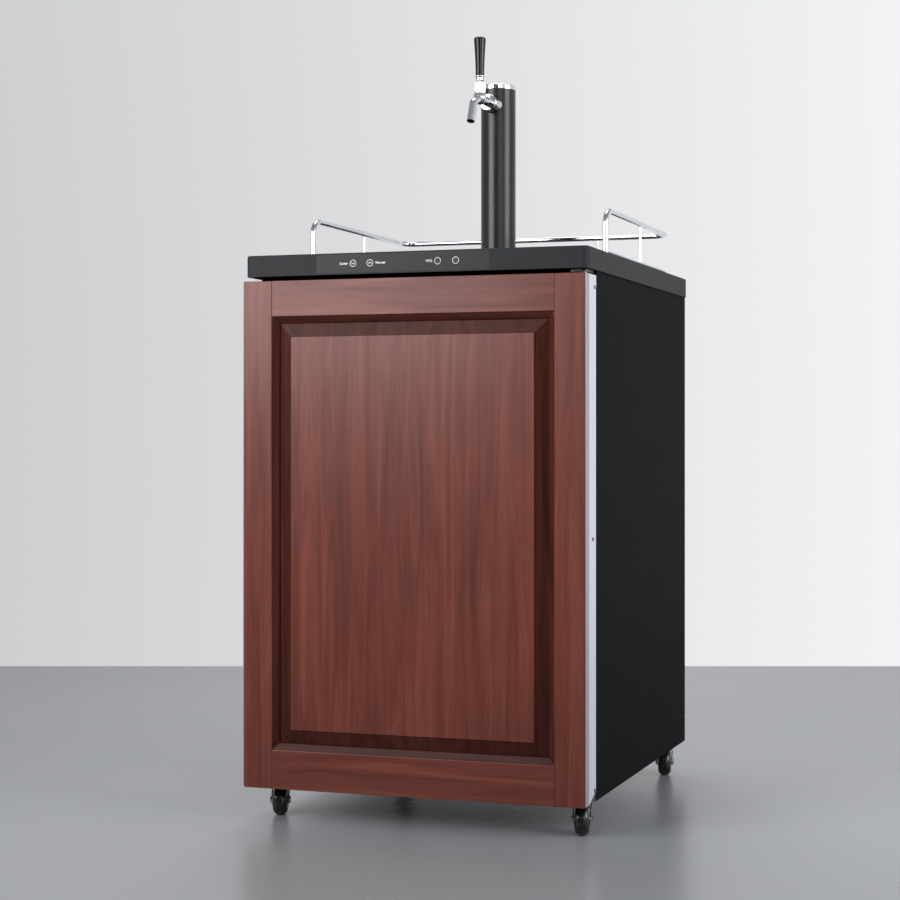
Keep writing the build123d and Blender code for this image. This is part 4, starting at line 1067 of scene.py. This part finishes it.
class StageOperator(bpy.types.Operator):
    """Pale floor, soft lamps, pale surroundings and the camera"""

    bl_idname = "cooler.stage"
    bl_label = "Stage"

    FLOOR_SIZE = 60
    CARD_PLACE = (-0.6, -4.6, 1.0)
    CARD_SIZE = (6.4, 2.6, 1)
    LENS = 70.4  # millimetres
    SHIFT = (-0.1667, -0.0171)  # of the image's width
    SPREAD = 110  # degrees over which a lamp shines
    LAMPS = (  # name, place, watts, width
        ("Key lamp", (-1.15, -2.05, 1.5), 22, 1.4),
        ("Fill lamp", (1.9, -3.0, 1.9), 7, 1.6),
        ("Side lamp", (3.0, -0.4, 1.6), 27, 1.6),
        ("Top lamp", (-0.2, 0.5, 3.2), 10, 1.6),
        ("Back lamp", (-1.2, 3.0, 2.2), 24, 1.6),
    )

    def execute(self, context):
        self.floor()
        self.dark_card()
        self.world(context.scene)
        for row in self.LAMPS:
            self.lamp(*row)
        self.camera(context.scene)
        context.scene.view_settings.view_transform = "Standard"
        return {"FINISHED"}

    def floor(self):
        """Polished floor whose far edge lies square to the camera."""
        colours, _ = settings()
        turn = math.radians(CAMERA_TURN)
        ahead = FLOOR_EDGE - self.FLOOR_SIZE / 2
        x, y, _ = CAMERA_PLACE
        place = (x - ahead * math.sin(turn), y + ahead * math.cos(turn), 0)
        bpy.ops.object.select_all(action="DESELECT")
        bpy.ops.mesh.primitive_plane_add(size=self.FLOOR_SIZE, location=place, rotation=(0, 0, turn))
        floor = bpy.context.active_object
        only(floor)
        bpy.ops.object.transform_apply(location=True, rotation=True, scale=True)
        floor.name = "studio_floor"
        made, tree, shader = material(
            "Studio floor", tuple(colours.floor), 0.27, specular_ior_level=0.32
        )
        polish = between(tree, noise(tree, 3, detail=2), 0.25, 0.29, 0, 1)
        tree.links.new(polish, shader.inputs["Roughness"])
        floor.data.materials.append(made)

    def dark_card(self):
        """Dark card behind the camera that only reflections see."""
        bpy.ops.object.select_all(action="DESELECT")
        bpy.ops.mesh.primitive_plane_add(
            size=1, location=self.CARD_PLACE, rotation=(math.pi / 2, 0, 0)
        )
        card = bpy.context.active_object
        card.scale = self.CARD_SIZE
        card.name = "dark_card"
        card.visible_camera = card.visible_diffuse = card.visible_shadow = False
        made, _, _ = material("Dark card", (0.06, 0.06, 0.06), 0.9)
        card.data.materials.append(made)

    def world(self, scene):
        """Soft grey light, and a pale backdrop, darker overhead, for the eye and for reflections."""
        world = bpy.data.worlds.new("Studio")
        scene.world = world
        world.use_nodes = True
        tree = world.node_tree
        tree.nodes.clear()
        out = add(tree, "ShaderNodeOutputWorld")
        light = add(tree, "ShaderNodeBackground")
        light.inputs["Color"].default_value = (0.95, 0.97, 1.0, 1)
        light.inputs["Strength"].default_value = 0.24
        seen = add(tree, "ShaderNodeBackground")
        seen.inputs["Color"].default_value = (0.97, 0.985, 1.0, 1)
        place = add(tree, "ShaderNodeTexCoord")
        parts = add(tree, "ShaderNodeSeparateXYZ")
        tree.links.new(place.outputs["Generated"], parts.inputs[0])
        across = between(tree, parts.outputs["X"], 0.62, 0.92, -0.6, -0.1)
        upward = between(tree, parts.outputs["Z"], 1.0, 0.3, 0.3, 0.9)
        tone = add(tree, "ShaderNodeMath", operation="MULTIPLY")
        tree.links.new(across, tone.inputs[0])
        tree.links.new(upward, tone.inputs[1])
        tree.links.new(tone.outputs[0], seen.inputs["Strength"])
        path = add(tree, "ShaderNodeLightPath")
        mix = add(tree, "ShaderNodeMixShader")
        shown = path.outputs["Is Camera Ray"]
        for ray in ("Is Glossy Ray", "Is Transmission Ray"):
            either = add(tree, "ShaderNodeMath", operation="MAXIMUM")
            tree.links.new(shown, either.inputs[0])
            tree.links.new(path.outputs[ray], either.inputs[1])
            shown = either.outputs[0]
        tree.links.new(shown, mix.inputs["Fac"])
        tree.links.new(light.outputs[0], mix.inputs[1])
        tree.links.new(seen.outputs[0], mix.inputs[2])
        tree.links.new(mix.outputs[0], out.inputs["Surface"])

    def lamp(self, name, place, power, size):
        """Soft lamp aimed at the door's top; the one behind stays out of reflections."""
        data = bpy.data.lights.new(name, "AREA")
        data.energy = power
        data.shape = "SQUARE"
        data.size = size
        data.spread = math.radians(self.SPREAD)
        lamp = bpy.data.objects.new(name, data)
        bpy.context.scene.collection.objects.link(lamp)
        lamp.location = place
        aim = Vector((0, 0, cad_high.z * 0.72)) - Vector(place)
        lamp.rotation_euler = aim.to_track_quat("-Z", "Y").to_euler()
        lamp.visible_camera = False
        lamp.visible_glossy = name != "Back lamp"

    def camera(self, scene):
        """Level camera, a little to the right, with the cooler left of its axis."""
        data = bpy.data.cameras.new("Camera")
        data.lens = self.LENS
        data.sensor_width = 36.0
        data.shift_x, data.shift_y = self.SHIFT
        camera = bpy.data.objects.new("Camera", data)
        scene.collection.objects.link(camera)
        camera.location = CAMERA_PLACE
        camera.rotation_euler = (math.radians(90), 0, math.radians(CAMERA_TURN))
        scene.camera = camera


class CoolerPanel(bpy.types.Panel):
    """Sizes, colours and the steps that build the cooler"""

    bl_idname = "VIEW3D_PT_cooler"
    bl_label = "Draught Cooler"
    bl_space_type = "VIEW_3D"
    bl_region_type = "UI"
    bl_category = "Cooler"

    def draw(self, context):
        for group in (context.scene.cooler_colours, context.scene.cooler_sizes):
            for name in type(group).__annotations__:
                self.layout.prop(group, name)
        for step in STEPS:
            self.layout.operator(step.bl_idname)


STEPS = (
    CabinetOperator,
    InsideOperator,
    CoolingOperator,
    DoorWoodOperator,
    DoorBodyOperator,
    TrimOperator,
    HingeOperator,
    WorktopOperator,
    KeysOperator,
    GuardRailOperator,
    DripTrayOperator,
    TowerOperator,
    TapOperator,
    CasterOperator,
    StageOperator,
)


def register():
    for made in (CoolerColours, CoolerSizes, *STEPS, CoolerPanel):
        bpy.utils.register_class(made)
    bpy.types.Scene.cooler_colours = PointerProperty(type=CoolerColours)
    bpy.types.Scene.cooler_sizes = PointerProperty(type=CoolerSizes)


def unregister():
    del bpy.types.Scene.cooler_sizes
    del bpy.types.Scene.cooler_colours
    for made in reversed((CoolerColours, CoolerSizes, *STEPS, CoolerPanel)):
        bpy.utils.unregister_class(made)


def main():
    register()
    for step in STEPS:
        group, name = step.bl_idname.split(".")
        getattr(getattr(bpy.ops, group), name)()


if __name__ == "__main__":
    main()
